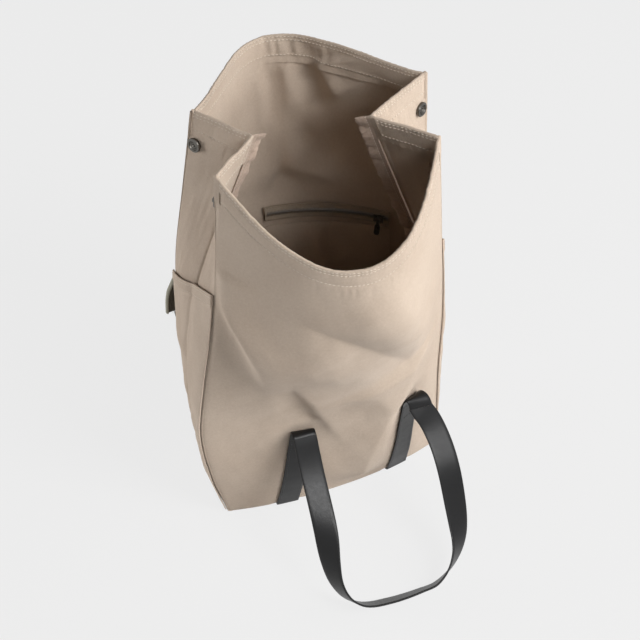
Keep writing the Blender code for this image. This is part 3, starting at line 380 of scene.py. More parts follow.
def cloth_normal(panel, u, v):
    step = 2e-3
    along = cloth(panel, np.minimum(u + step, 0.999), v) - cloth(panel, np.maximum(u - step, 0.001), v)
    up = cloth(panel, u, np.minimum(v + step, 1)) - cloth(panel, u, np.maximum(v - step, 0))
    return unit(np.cross(along, up))


# Meshes

def link(thing):
    bpy.context.scene.collection.objects.link(thing)
    return thing


def new_piece(name, points, faces, material, uv=None, body="bag", stands_for=()):
    """Closed mesh at the origin, with its place in its points."""
    mesh = bpy.data.meshes.new(name)
    mesh.from_pydata(np.reshape(points, (-1, 3)).tolist(), [], faces)
    if uv is not None:
        corners = np.empty(len(mesh.loops), int)
        mesh.loops.foreach_get("vertex_index", corners)
        layer = mesh.uv_layers.new(name="UVMap")
        layer.data.foreach_set("uv", np.reshape(uv, (-1, 2))[corners].astype(np.float32).ravel())
    bm = bmesh.new()
    bm.from_mesh(mesh)
    bmesh.ops.recalc_face_normals(bm, faces=bm.faces)
    if bm.calc_volume(signed=True) < 0:
        bmesh.ops.reverse_faces(bm, faces=bm.faces)
    bm.to_mesh(mesh)
    bm.free()
    mesh.materials.append(material)
    mesh.shade_smooth()
    mesh.set_sharp_from_angle(angle=math.radians(50))
    piece = link(bpy.data.objects.new(name, mesh))
    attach(piece, body)
    if stands_for:
        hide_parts(*stands_for)
    return piece


def cut_cloth(piece, grid):
    """Hands back the piece unchanged; the grid of points on one face is only turned into an array."""
    grid = np.asarray(grid, float)
    return piece


def strip_faces(rows, columns):
    """Quads of a folded strip whose first and last rows meet, with its two sides closed."""
    faces = []
    at = lambda r, c: r * columns + c
    for r in range(rows - 1):
        for c in range(columns - 1):
            faces.append((at(r, c), at(r, c + 1), at(r + 1, c + 1), at(r + 1, c)))
    for c in range(columns - 1):
        faces.append((at(rows - 1, c), at(rows - 1, c + 1), at(0, c + 1), at(0, c)))
    for c in (0, columns - 1):
        for r in range((rows - 1) // 2):
            far = rows - 1 - r
            ring = [at(r, c), at(r + 1, c), at(far - 1, c), at(far, c)]
            if ring[1] == ring[2]:
                ring.pop(1)
            faces.append(ring if c == 0 else ring[::-1])
    return faces


def folded_sheet(name, rows, across, lengths, material, **keep):
    """Closed piece from rows of points that run up one face of a cloth and down the other."""
    uv = [[(a, t) for a in across] for t in lengths]
    return new_piece(name, np.array(rows), strip_faces(len(rows), len(across)), material, uv=uv, **keep)


def turned_edge(outer, inner, rise, degrees):
    """Rows round the edge where a cloth turns from its outer face to its inner one."""
    middle, half = (outer + inner) / 2, (outer - inner) / 2
    return [middle + half * math.cos(t) + rise * math.sin(t) for t in np.radians(degrees)]


def rod_faces(rings, sides):
    """Quads round a row of rings, with both ends closed."""
    faces = []
    for r in range(rings - 1):
        for s in range(sides):
            t = (s + 1) % sides
            faces.append((r * sides + s, r * sides + t, (r + 1) * sides + t, (r + 1) * sides + s))
    faces.append(tuple(range(sides))[::-1])
    faces.append(tuple((rings - 1) * sides + s for s in range(sides)))
    return faces


def tube(name, rings, material, **keep):
    """Closed solid through rings of points, with a texture laid round and along them."""
    rings = np.asarray(rings, float)
    count, size = rings.shape[:2]
    uv = np.stack(np.meshgrid(run_along(rings[count // 2]), run_along(rings.mean(axis=1))), axis=-1)
    return new_piece(name, rings, rod_faces(count, size), material, uv=uv, **keep)


def band_section(half_width, half_thick, across=7, edge=3):
    """Outline of a flat band with rounded edges, as (across, through) pairs."""
    flat = np.linspace(-1, 1, across) * (half_width - half_thick)
    turn = np.linspace(90, -90, edge + 2)[1:-1]
    pairs = [(x, half_thick) for x in flat]
    pairs += [(flat[-1] + half_thick * math.cos(t), half_thick * math.sin(t)) for t in np.radians(turn)]
    pairs += [(x, -half_thick) for x in flat[::-1]]
    pairs += [(flat[0] - half_thick * math.cos(t), -half_thick * math.sin(t)) for t in np.radians(turn)]
    return np.array(pairs)


def swept(centres, sides, faces_out, section):
    """Rings of one section carried along a route."""
    a, b = section[:, 0], section[:, 1]
    return (centres[:, None] + sides[:, None] * a[None, :, None]
            + faces_out[:, None] * b[None, :, None])


def spline(points, count):
    """Evenly spread places on a smooth curve through the given ones."""
    points = np.asarray(points, float)
    fine = []
    for i in range(len(points) - 1):
        p0, p1 = points[max(i - 1, 0)], points[i]
        p2, p3 = points[i + 1], points[min(i + 2, len(points) - 1)]
        for t in np.arange(20) / 20:
            fine.append(p1 + (p2 - p0) * t / 2 + (p0 * 2 - p1 * 5 + p2 * 4 - p3) * t**2 / 2
                        + (p1 * 3 - p0 - p2 * 3 + p3) * t**3 / 2)
    fine = np.array(fine + [points[-1]])
    run = run_along(fine[:, :3])
    at = np.linspace(0, run[-1], count)
    return np.stack([np.interp(at, run, fine[:, k]) for k in range(fine.shape[1])], axis=1)


# Materials

def srgb(code):
    """Linear colour of a hex value."""
    values = [int(code[i:i + 2], 16) / 255 for i in (1, 3, 5)]
    return tuple(c / 12.92 if c <= 0.04045 else ((c + 0.055) / 1.055) ** 2.4 for c in values) + (1.0,)


def add(tree, kind, inputs=None, **settings):
    """Adds a node with its settings, and values or links for its sockets."""
    made = tree.nodes.new(kind)
    for key, value in settings.items():
        setattr(made, key, value)
    for key, value in (inputs or {}).items():
        if isinstance(value, bpy.types.NodeSocket):
            tree.links.new(value, made.inputs[key])
        else:
            made.inputs[key].default_value = value
    return made


def new_material(name, slot, roughness, metallic=0.0, **sockets):
    material = bpy.data.materials.new(name)
    material.use_nodes = True
    material["slot"] = slot
    shader = material.node_tree.nodes["Principled BSDF"]
    shader.inputs["Roughness"].default_value = roughness
    shader.inputs["Metallic"].default_value = metallic
    for key, value in sockets.items():
        shader.inputs[key.replace("_", " ")].default_value = value
    tree = material.node_tree
    return material, tree, shader, add(tree, "ShaderNodeTexCoord").outputs["Object"]


def noise(tree, place, scale, detail):
    return add(tree, "ShaderNodeTexNoise", {"Vector": place, "Scale": scale, "Detail": detail})


def calc(tree, operation, *values):
    """Result of one sum on numbers and sockets."""
    return add(tree, "ShaderNodeMath", dict(enumerate(values)), operation=operation).outputs["Value"]


def blend(tree, factor, low, high):
    """Colour between two, by a factor."""
    return add(tree, "ShaderNodeMix", {"Factor": factor, "A": low, "B": high},
               data_type="RGBA").outputs["Result"]


def raise_grain(tree, shader, height, strength, distance):
    grain = add(tree, "ShaderNodeBump", {"Height": height, "Strength": strength, "Distance": distance})
    tree.links.new(grain.outputs["Normal"], shader.inputs["Normal"])


def vary_gloss(tree, shader, factor, low, high):
    spread = add(tree, "ShaderNodeMapRange", {"Value": factor, "From Min": 0.3, "From Max": 0.7,
                                              "To Min": low, "To Max": high})
    tree.links.new(spread.outputs["Result"], shader.inputs["Roughness"])


def woven_canvas(name, slot, colour, dark, thread=0.0007, bump=0.35):
    """Plain-woven cotton canvas: matt, a little fuzzy, threads crossing over and under."""
    material, tree, shader, place = new_material(name, slot, 0.93, Sheen_Weight=0.12, Sheen_Roughness=0.45,
                                                 Specular_IOR_Level=0.25)
    uv = add(tree, "ShaderNodeUVMap", uv_map="UVMap").outputs["UV"]
    wander = noise(tree, uv, 90.0, 2.0)
    drift = add(tree, "ShaderNodeVectorMath", {0: wander.outputs["Color"], 1: (0.5, 0.5, 0.5)},
                operation="SUBTRACT")
    drift = add(tree, "ShaderNodeVectorMath", {0: drift.outputs["Vector"], "Scale": 0.0006},
                operation="SCALE")
    moved = add(tree, "ShaderNodeVectorMath", {0: uv, 1: drift.outputs["Vector"]}, operation="ADD")
    threads = add(tree, "ShaderNodeMapping", {"Vector": moved.outputs["Vector"],
                                              "Scale": (1 / thread, 1 / thread, 1.0)})
    waves = [add(tree, "ShaderNodeTexWave", {"Vector": threads.outputs["Vector"], "Scale": math.pi / 10},
                 wave_type="BANDS", bands_direction=way).outputs["Fac"] for way in ("X", "Y")]
    crossing = add(tree, "ShaderNodeTexChecker", {"Vector": threads.outputs["Vector"], "Scale": 1.0,
                                                  "Color1": (1, 1, 1, 1), "Color2": (0, 0, 0, 1)})
    weave = add(tree, "ShaderNodeMix", {"Factor": crossing.outputs["Fac"], "A": waves[0], "B": waves[1]})
    slub = noise(tree, place, 420.0, 3.0).outputs["Fac"]
    patches = noise(tree, place, 14.0, 4.0).outputs["Fac"]
    tone = calc(tree, "MULTIPLY_ADD", patches, 0.55, calc(tree, "MULTIPLY", slub, 0.45))
    tone = add(tree, "ShaderNodeMapRange", {"Value": tone, "From Min": 0.33, "From Max": 0.67})
    mixed = blend(tree, tone.outputs["Result"], srgb(dark), srgb(colour))
    # painted shade: the base colour is darkened by up to 16% in the hollows between the threads
    hollow = calc(tree, "MULTIPLY_ADD", weave.outputs[0], 0.16, 0.84)
    shaded = add(tree, "ShaderNodeVectorMath", {0: mixed, "Scale": hollow}, operation="SCALE")
    tree.links.new(shaded.outputs["Vector"], shader.inputs["Base Color"])
    raise_grain(tree, shader, calc(tree, "MULTIPLY_ADD", slub, 0.6, weave.outputs[0]), bump, 0.00022)
    return material


def grained_leather(name, colour, dark, roughness):
    """Vegetable-tanned cowhide, dyed through and waxed: fine pebbles and a broad soft gloss."""
    material, tree, shader, place = new_material(name, "leather", roughness, Specular_IOR_Level=0.30,
                                                 Coat_Weight=0.04, Coat_Roughness=0.35)
    pebbles = add(tree, "ShaderNodeTexVoronoi", {"Vector": place, "Scale": 1100.0, "Randomness": 1.0},
                  feature="DISTANCE_TO_EDGE")
    pores = noise(tree, place, 300.0, 4.0).outputs["Fac"]
    clouds = noise(tree, place, 22.0, 3.0).outputs["Fac"]
    tree.links.new(blend(tree, clouds, srgb(dark), srgb(colour)), shader.inputs["Base Color"])
    vary_gloss(tree, shader, pores, roughness - 0.02, roughness + 0.04)
    raise_grain(tree, shader, calc(tree, "MULTIPLY_ADD", pores, 0.5, pebbles.outputs["Distance"]), 0.18,
                0.0002)
    return material


def plated_metal(name, colour, roughness):
    """Black-nickel plated brass: dark, satin, with fine rubbing marks."""
    material, tree, shader, place = new_material(name, "gunmetal", roughness, metallic=1.0)
    marks = noise(tree, place, 900.0, 4.0).outputs["Fac"]
    vary_gloss(tree, shader, marks, roughness - 0.07, roughness + 0.12)
    shader.inputs["Base Color"].default_value = srgb(colour)
    return material


def spun_thread(name, slot, colour, roughness=0.7):
    """Twisted polyester sewing thread: a slight silky shine."""
    material, tree, shader, place = new_material(name, slot, roughness, Sheen_Weight=0.2,
                                                 Sheen_Roughness=0.4)
    ply = noise(tree, place, 2500.0, 1.0).outputs["Fac"]
    shade = tuple(0.72 * c for c in srgb(colour)[:3]) + (1,)
    tree.links.new(blend(tree, ply, shade, srgb(colour)), shader.inputs["Base Color"])
    return material


CANVAS_CLOTH = woven_canvas("cotton_canvas", "canvas", "#CFBEAD", "#C3B09E")
HEM_CLOTH = woven_canvas("cotton_canvas_hem", "facing", "#CFBEAD", "#C3B09E")
BINDING_TAPE = woven_canvas("cotton_binding_tape", "binding", "#CAB4A3", "#B09A8A", thread=0.0005)
ZIP_TAPE = woven_canvas("zip_tape_cloth", "zip_tape", "#B5A593", "#A3937F", thread=0.0006)
WEBBING = woven_canvas("nylon_webbing", "webbing", "#2A2A2B", "#202021", thread=0.0016, bump=0.8)
LEATHER = grained_leather("waxed_cowhide", "#161617", "#101011", roughness=0.36)
METAL = plated_metal("black_nickel", "#6A6762", 0.30)
PALE_THREAD = spun_thread("pale_thread", "canvas", "#E6DBCD")
# real bartack thread, but its darker colour is painted shade of the pinched stitch holes round it
TACK_THREAD = spun_thread("bartack_thread", "canvas", "#A08E79")
BLACK_THREAD = spun_thread("black_thread", "leather", "#232324", 0.5)
BROWN_THREAD = spun_thread("brown_thread", "zip_tape", "#6E5D4C")
COIL = spun_thread("zip_coil_nylon", "zip_tape", "#66594C", 0.45)
PAD_TAPE = woven_canvas("grey_edging_tape", "binding", "#B4B1A2", "#A19E8F", thread=0.0005)
# coarse cloth darkened to brown for the pads' faces towards the bag: painted shade of their shadowed side
PAD_SHADE_CLOTH = woven_canvas("pad_back_painted_shade", "canvas", "#5A5348", "#474238", thread=0.0022, bump=1.0)


# Canvas walls with their hem

def edge_columns(count, span, seam=0.004):
    """Columns across a wall, closer together beside its two seams."""
    near = [0, 0.0011, 0.0022, seam, seam * 1.6, seam * 2.6]
    near = [n / span for n in near]
    inner = np.linspace(near[-1] * 1.7, 1 - near[-1] * 1.7, count)
    return np.array(near + list(inner) + [1 - n for n in near[::-1]])


def hemmed_wall(name, panel, columns, rows):
    """One wall: canvas from under the base to the mouth, turned in there and sewn down as a hem."""
    us = edge_columns(columns, span_of(panel))
    hem = 1 - FACING_DEPTH / HEIGHT
    half_step = HEM_STEP / HEIGHT / 2
    top = 1 - RIM / 2 / HEIGHT
    vs = np.concatenate([np.linspace(0, hem - half_step, rows), np.linspace(hem + half_step, top, 32)])
    turns = np.linspace(-1, 0, 7)[:-1]
    levels = np.concatenate([turns, vs])
    u, v = np.meshgrid(us, levels)
    depth = np.where(v > hem, RIM, CANVAS)
    outer, inner = cloth(panel, u, v), cloth(panel, u, v, depth)
    rim_out, rim_in = cloth(panel, us, top), cloth(panel, us, top, RIM)
    up = unit(rim_out - cloth(panel, us, top - 0.01))
    rim = turned_edge(rim_out, rim_in, up * RIM * 0.6, np.arange(22.5, 180, 22.5))
    run = np.concatenate([turns * HEEL_RADIUS, vs * HEIGHT])
    lengths = np.concatenate([run, HEIGHT + np.arange(len(rim)) * RIM / 8, run[::-1]])
    piece = folded_sheet(name, [*outer, *rim, *inner[::-1]], us * span_of(panel), lengths, CANVAS_CLOTH,
                         stands_for=(panel, panel + "_facing"))
    return cut_cloth(piece, outer)


for face_side in ("front", "back"):
    hemmed_wall(face_side + "_canvas", face_side + "_panel", 110, 120)
for panel_name in PANEL_NAMES:
    if "gusset" in panel_name:
        hemmed_wall(panel_name + "_canvas", panel_name, 34, 90)


# Base cloth

def base_canvas():
    """Bottom of the bag, ruled between the turned-under walls and raised over the two straps."""
    count, deep = 60, 30
    u = np.linspace(0.001, 0.999, count)
    w = np.linspace(0, 1, deep)

    def edge(panel, share):
        return cloth(panel, share, np.full(np.shape(share), -1.0))

    front, back = edge("front_panel", u), edge("back_panel", 1 - u)
    left = np.where((w < 0.5)[:, None], edge("left_gusset_front", 1 - np.clip(2 * w, 0, 1)),
                    edge("left_gusset_back", 1 - np.clip(2 * w - 1, 0, 1)))
    right = np.where((w < 0.5)[:, None], edge("right_gusset_front", np.clip(2 * w, 0, 1)),
                     edge("right_gusset_back", np.clip(2 * w - 1, 0, 1)))
    a, b = u[None, :, None], w[:, None, None]
    grid = ((1 - b) * front[None] + b * back[None] + (1 - a) * left[:, None] + a * right[:, None]
            - (1 - a) * (1 - b) * front[0] - a * (1 - b) * front[-1]
            - (1 - a) * b * back[0] - a * b * back[-1])
    low = grid.copy()
    low[..., 2] = base_lift(grid[..., 0]) + 0.0004
    high = low + np.array([0, 0, CANVAS])
    high[..., 2] += 0.0006 * (1 + rolling(low[..., 0], low[..., 1], 5, 0.07))
    rows = np.array([*low, *high[::-1]])
    piece = new_piece("base_canvas", rows, strip_faces(len(rows), count), CANVAS_CLOTH, uv=rows[..., :2],
                      stands_for=("base_panel",))
    return cut_cloth(piece, low)


# Stitches

def stitch_tree():
    """Threads laid at an even pitch along lines, flat to the way that each point faces."""
    tree = bpy.data.node_groups.new("stitch_line", "GeometryNodeTree")
    face = tree.interface
    face.new_socket("Geometry", in_out="INPUT", socket_type="NodeSocketGeometry")
    for name in ("Pitch", "Length", "Thickness", "Height"):
        face.new_socket(name, in_out="INPUT", socket_type="NodeSocketFloat")
    face.new_socket("Thread", in_out="INPUT", socket_type="NodeSocketMaterial")
    face.new_socket("Geometry", in_out="OUTPUT", socket_type="NodeSocketGeometry")
    given = tree.nodes.new("NodeGroupInput").outputs
    line = add(tree, "GeometryNodeMeshToCurve", {"Mesh": given["Geometry"]})
    spaced = add(tree, "GeometryNodeResampleCurve", {"Curve": line.outputs["Curve"],
                                                    "Length": given["Pitch"]}, mode="LENGTH")
    facing = add(tree, "GeometryNodeInputNamedAttribute", {"Name": "facing_way"},
                 data_type="FLOAT_VECTOR")
    along = add(tree, "GeometryNodeInputTangent")
    turn = add(tree, "FunctionNodeAxesToRotation", {"Primary Axis": along.outputs["Tangent"],
                                                    "Secondary Axis": facing.outputs["Attribute"]},
               primary_axis="X", secondary_axis="Z")
    slant = add(tree, "FunctionNodeRandomValue", {"Min": -0.05, "Max": 0.05, "Seed": 7})
    slant = add(tree, "ShaderNodeCombineXYZ", {"Z": slant.outputs[1]})
    turn = add(tree, "FunctionNodeRotateRotation", {"Rotation": turn.outputs["Rotation"],
                                                    "Rotate By": slant.outputs["Vector"]},
               rotation_space="LOCAL")
    thread = add(tree, "GeometryNodeMeshUVSphere", {"Segments": 6, "Rings": 4, "Radius": 0.5})
    soft = add(tree, "GeometryNodeSetShadeSmooth", {"Geometry": thread.outputs["Mesh"]})
    size = add(tree, "ShaderNodeCombineXYZ", {"X": given["Length"], "Y": given["Thickness"],
                                              "Z": given["Height"]})
    placed = add(tree, "GeometryNodeInstanceOnPoints", {
        "Points": spaced.outputs["Curve"], "Instance": soft.outputs["Geometry"],
        "Rotation": turn.outputs["Rotation"], "Scale": size.outputs["Vector"]})
    real = add(tree, "GeometryNodeRealizeInstances", {"Geometry": placed.outputs["Instances"]})
    finish = add(tree, "GeometryNodeSetMaterial", {"Geometry": real.outputs["Geometry"],
                                                   "Material": given["Thread"]})
    out = tree.nodes.new("NodeGroupOutput")
    tree.links.new(finish.outputs["Geometry"], out.inputs["Geometry"])
    return tree


def run_tree(piece, tree, values):
    """Turns a piece into the plain mesh that its tree makes of it."""
    modifier = piece.modifiers.new("make", "NODES")
    modifier.node_group = tree
    for item in tree.interface.items_tree:
        if item.in_out == "INPUT" and item.name in values:
            modifier[item.identifier] = values[item.name]
    drawn = piece.evaluated_get(bpy.context.evaluated_depsgraph_get())
    made = bpy.data.meshes.new_from_object(drawn)
    piece.modifiers.remove(modifier)
    piece.data = made


STITCHES = stitch_tree()


def stitches(name, lines, thread, pitch=0.0042, length=0.0030, thickness=0.00055):
    """Threads along lines, each given as points and the ways that they face."""
    points, ways, edges = [], [], []
    for places, normals in lines:
        first = len(points)
        points += list(places)
        ways += list(normals)
        edges += [(i, i + 1) for i in range(first, len(points) - 1)]
    mesh = bpy.data.meshes.new(name)
    mesh.from_pydata([tuple(p) for p in points], edges, [])
    mark = mesh.attributes.new("facing_way", "FLOAT_VECTOR", "POINT")
    mark.data.foreach_set("vector", np.asarray(ways, np.float32).ravel())
    piece = link(bpy.data.objects.new(name, mesh))
    run_tree(piece, STITCHES, {"Pitch": pitch, "Length": length, "Thickness": thickness,
                               "Height": thickness * 0.8, "Thread": thread})
    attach(piece, "bag")


def line_on(panel, u, v, inside=None, lift=0.0001):
    """A line on the outer face of a wall, or on the inner face at a depth."""
    u, v = matched(u, v)
    normal = cloth_normal(panel, u, v)
    if inside is None:
        return cloth(panel, u, v) + normal * lift, normal
    return cloth(panel, u, v, inside) - normal * lift, -normal


def hem_stitches():
    """Two rows that hold the turned hem, seen from both sides, and one close under the rim."""
    lines = []
    for panel in PANEL_NAMES:
        margin = 0.006 / span_of(panel)
        u = np.linspace(margin, 1 - margin, 90)
        for down in (*RIM_ROWS, FACING_ROW):
            v = 1 - down / HEIGHT
            lines.append(line_on(panel, u, v, lift=0.0002))
            lines.append(line_on(panel, u, v, inside=RIM, lift=0.0002))
    stitches("hem_stitches", lines, PALE_THREAD, pitch=0.0040, length=0.0029, thickness=0.0008)


def corner_stitches():
    """Edge stitching beside the four mouth corners, each ending in a bartack."""
    lines, tacks = [], []
    beside = 0.0048
    for panel in PANEL_NAMES:
        share = beside / span_of(panel)
        ends = [share, 1 - share]
        if "gusset" in panel:
            ends = ends[:1] if panel in ("right_gusset_front", "left_gusset_back") else ends[1:]
        for u in ends:
            v = np.linspace(1 - 0.003 / HEIGHT, 1 - 0.024 / HEIGHT, 20)
            lines.append(line_on(panel, np.full(20, u), v))
            if "gusset" not in panel:
                v = np.linspace(1 - 0.013 / HEIGHT, 1 - 0.025 / HEIGHT, 12)
                way = 0.0004 / span_of(panel)
                for k in (-1.5, -0.5, 0.5, 1.5):
                    tacks.append(line_on(panel, np.full(12, u + k * way), v, lift=0.0003))
    stitches("corner_stitches", lines, PALE_THREAD, pitch=0.0032, length=0.0024)
    stitches("corner_bartacks", tacks, TACK_THREAD, pitch=0.0011, length=0.0013, thickness=0.0005)


# Bound seams

BINDING_CLOTH = 0.0026


def binding(name, panel, width, low, high, stand_off, pucker, seed, stands_for, lean=None):
    """Tape folded over a seam allowance that stands into the bag, drawn up a little by its stitching."""
    count = 190
    v = np.linspace(low, high, count)
    foot = cloth(panel, 1.0, v, CANVAS)
    normals = plain_normal(panel, np.ones(count), v)
    inward = -unit(mitred(panel, np.ones(count), v, normals, plain_normal))
    if lean:
        half, share = lean
        end = 1.0 if half == panel else 0.0
        beyond = unit(wall(half, end, v) - wall(half, abs(end - 0.02), v))
        inward = inward * (1 - share) + beyond * share
    up = unit(np.gradient(foot, axis=0))
    inward = unit(inward - up * np.sum(inward * up, axis=1, keepdims=True))
    across = unit(np.cross(up, inward))
    run = run_along(foot)
    rng = np.random.default_rng(seed)
    wave = np.zeros(count)
    swell = np.zeros(count)
    for length in (0.027, 0.016, 0.0105, 0.0075):
        phases = rng.uniform(0, 2 * math.pi, 2)
        wave += np.sin(2 * math.pi * run / length + phases[0]) * length / 0.027
        swell += np.sin(2 * math.pi * run / length * 1.13 + phases[1]) * 0.5
    shares = np.linspace(0, 1, 12)
    tuck = 1 - 0.42 * bell(shares, 0.24, 0.07)
    round_off = np.sqrt(np.clip(1 - np.clip((shares - 0.86) / 0.14, 0, 1) ** 2, 0.05, 1))
    half = BINDING_CLOTH / 2 * tuck * round_off
    rings = []
    for i in range(count):
        ring = []
        for side in (1, -1):
            order = range(12) if side == 1 else range(11, -1, -1)
            for k in order:
                s = shares[k]
                thick = half[k] * (1 + 0.55 * swell[i] * smooth(0.25, 0.6, s) * side)
                sway = pucker * wave[i] * s**1.2
                edge = 0.0006 * swell[(i + 7) % count] * s**3
                ring.append(foot[i] + inward[i] * (stand_off + width * s + edge)
                            + across[i] * (side * thick + sway))
        rings.append(ring)
    tube(name, rings, BINDING_TAPE, stands_for=stands_for)
    lines = []
    for side in (1, -1):
        s = shares[3]
        sway = (pucker * wave * s**1.2)[:, None]
        places = foot + inward * (stand_off + width * s) + across * (side * half[3] * 1.05 + sway)
        lines.append((places, across * side))
    return lines


def bindings():
    low, hem = 0.045, 1 - FACING_DEPTH / HEIGHT - 0.006
    lines = []
    seams = {"front_right": "front_panel", "back_right": "right_gusset_back", "back_left": "back_panel",
             "front_left": "left_gusset_front"}
    for seed, (name, panel) in enumerate(seams.items()):
        lines += binding(name + "_seam_tape", panel, 0.009, low, hem, 0.0016, 0.0005, seed,
                         (name + "_binding",))
    for seed, (side, panel) in enumerate((("right", "right_gusset_front"), ("left", "left_gusset_back"))):
        lines += binding(side + "_fold_tape", panel, 0.0155, low, 1 - 0.001, 0.0016, 0.0012, seed + 8,
                         (side + "_fold_binding",), lean=(side + "_gusset_front", 0.6))
    stitches("seam_tape_stitches", lines, PALE_THREAD, pitch=0.0036, length=0.0025)


# Side pockets

POCKET_FRONT, POCKET_BACK = 0.355, 0.285
POCKET_CLOTH, POCKET_TURN, POCKET_HEM, POCKET_HEM_DEPTH = 0.0012, 0.0011, 0.0024, 0.016
POCKET_SLACK, POCKET_CUT = 0.0012, 0.33


def side_pocket(side):
    """Cloth over the lower gusset, sewn in at the seams, with a turned hem along its slanted mouth."""
    halves = [side + "_gusset_front", side + "_gusset_back"]
    if side == "left":
        halves.reverse()
    half_count, rows = 28, 70
    shares = np.linspace(0.014, 0.986, 2 * half_count)
    toward_back = shares if side == "right" else 1 - shares
    top = row_of(POCKET_FRONT + (POCKET_BACK - POCKET_FRONT) * toward_back)
    ups = np.concatenate([np.linspace(0.0, 0.94, rows), np.linspace(0.945, 1, 8)])
    first = shares < 0.5

    def place(up, stand):
        v = top * up
        slack = POCKET_SLACK * np.sin(math.pi * shares) * up**1.6
        ripple = 0.0012 * rolling(shares * 0.16, v * HEIGHT, 61, 0.08) * np.sin(math.pi * shares)
        depth = -(0.0009 + slack + ripple * smooth(0, 0.2, up) + stand)
        points = np.empty((len(shares), 3))
        points[first] = cloth(halves[0], shares[first] * 2, v[first], depth[first])
        points[~first] = cloth(halves[1], shares[~first] * 2 - 1, v[~first], depth[~first])
        chord = points[-1] - points[0]
        out = unit(np.array([chord[1], -chord[0], 0.0]))
        share = np.clip(((points - points[0]) @ chord) / (chord @ chord), 0, 1)
        short = np.clip((points[0] + share[:, None] * chord - points) @ out, 0, None)
        return points + out * (0.9 * short * smooth(0.05, 0.3, up))[:, None]

    hem_up = 1 - POCKET_HEM_DEPTH / (POCKET_FRONT - HEEL_RADIUS)
    outer = [place(up, POCKET_CLOTH + POCKET_TURN * smooth(hem_up - 0.004, hem_up + 0.004, up))
             for up in ups]
    inner = [place(up, 0.0) for up in ups]
    lip = turned_edge(outer[-1], inner[-1], np.array([0, 0, POCKET_HEM / 2]), range(30, 180, 30))
    lengths = [*(ups * POCKET_CUT), *(POCKET_CUT + 0.0006 * k for k in range(len(lip))),
               *(ups[::-1] * POCKET_CUT)]
    piece = folded_sheet(side + "_side_pocket", outer + lip + inner[::-1], shares * 2 * GUSSET_SPAN,
                         lengths, CANVAS_CLOTH, stands_for=(side + "_pocket",))
    cut_cloth(piece, outer)
    lines = []
    for up in (hem_up + 0.009, 1 - 0.009):
        a, b = (place(k, POCKET_CLOTH + POCKET_TURN) for k in (up, up - 0.01))
        along = np.gradient(a, axis=0)
        normal = unit(np.cross(along, a - b))
        lines.append(((a + normal * 0.0001)[1:-1], normal[1:-1]))
    return lines


# Leather straps

FOLD_STEPS = 16
FOLD_SWAY = {"left": 0.0, "right": 0.060}  # how far a fold leads sideways, as a share of the loop's spread


def strap_ring():
    """Points round a strap's section: across it, and their depth from the wall's outer face."""
    section = band_section(STRAP_WIDTH / 2, STRAP_LEATHER / 2, across=11, edge=3)
    return section[:, 0], -STRAP_CLEAR - STRAP_LEATHER / 2 - section[:, 1]


def strap_rows(panel, side, levels, across, depth):
    """Rings of a sewn strap on one wall, always listed towards +X."""
    middle = strap_share(panel, side, levels)
    level = np.maximum(levels, 0)
    step = 1e-3
    stretch = np.linalg.norm(wall(panel, middle + step, level) - wall(panel, middle - step, level),
                             axis=-1) / (2 * step)
    foot = abs(wall(panel, 1.0, 0.0)[0] - wall(panel, 0.0, 0.0)[0])
    stretch = np.where(levels < 0, foot, stretch)
    turn = 1 if panel == "front_panel" else -1
    u = middle[:, None] + turn * across[None] / stretch[:, None]
    return cloth(panel, u, np.broadcast_to(levels[:, None], u.shape), np.broadcast_to(depth, u.shape))


def strap_share(panel, side, levels):
    level = np.maximum(levels, 0)
    first, last = wall(panel, 0.0, level)[..., 0], wall(panel, 1.0, level)[..., 0]
    return (strap_x(side, level) - first) / (last - first)


def plain_fold(panel, side):
    """End of the stitching on the plain wall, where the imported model's strap leaves it."""
    row = np.array(row_of(SEWN_HEIGHT))
    middle = strap_share(panel, side, row)
    point = wall(panel, middle, row) + plain_normal(panel, middle, row) * (STRAP_CLEAR + STRAP_LEATHER / 2)
    return point, -1 if panel == "front_panel" else 1


def hinge_line(panel):
    """Depth and height of the line that a carrying loop swings on, and its resting slope."""
    forward = -1 if panel == "front_panel" else 1
    reach = max(forward * plain_fold(panel, side)[0][1] for side in STRAP_FOOT_SHARES)
    height = plain_fold(panel, "left")[0][2]
    long = HANDLE_DROP + STRAP_LEATHER / 2
    lean = max((1 - turned) * math.pi / 2 for _, down, turned in LOOP_SHARES if down == 1)
    angle = math.asin(min(height / long, STEEPEST_SHARE))
    for _ in range(20):
        turn = math.pi / 2 + angle
        axis_z = height + FOLD_RADIUS * math.sin(turn) + STRAP_LEATHER / 2 * math.cos(angle)
        drop = axis_z - STRAP_LEATHER * math.cos(angle) / 2 - SEAM_GAP
        drop -= STRAP_WIDTH / 2 * math.cos(angle - lean)
        angle = math.asin(min(drop / long, STEEPEST_SHARE))
    axis_y = forward * (reach + FOLD_RADIUS * (1 - math.cos(turn)) + STRAP_LEATHER / 2 * math.sin(angle))
    return axis_y, axis_z, angle


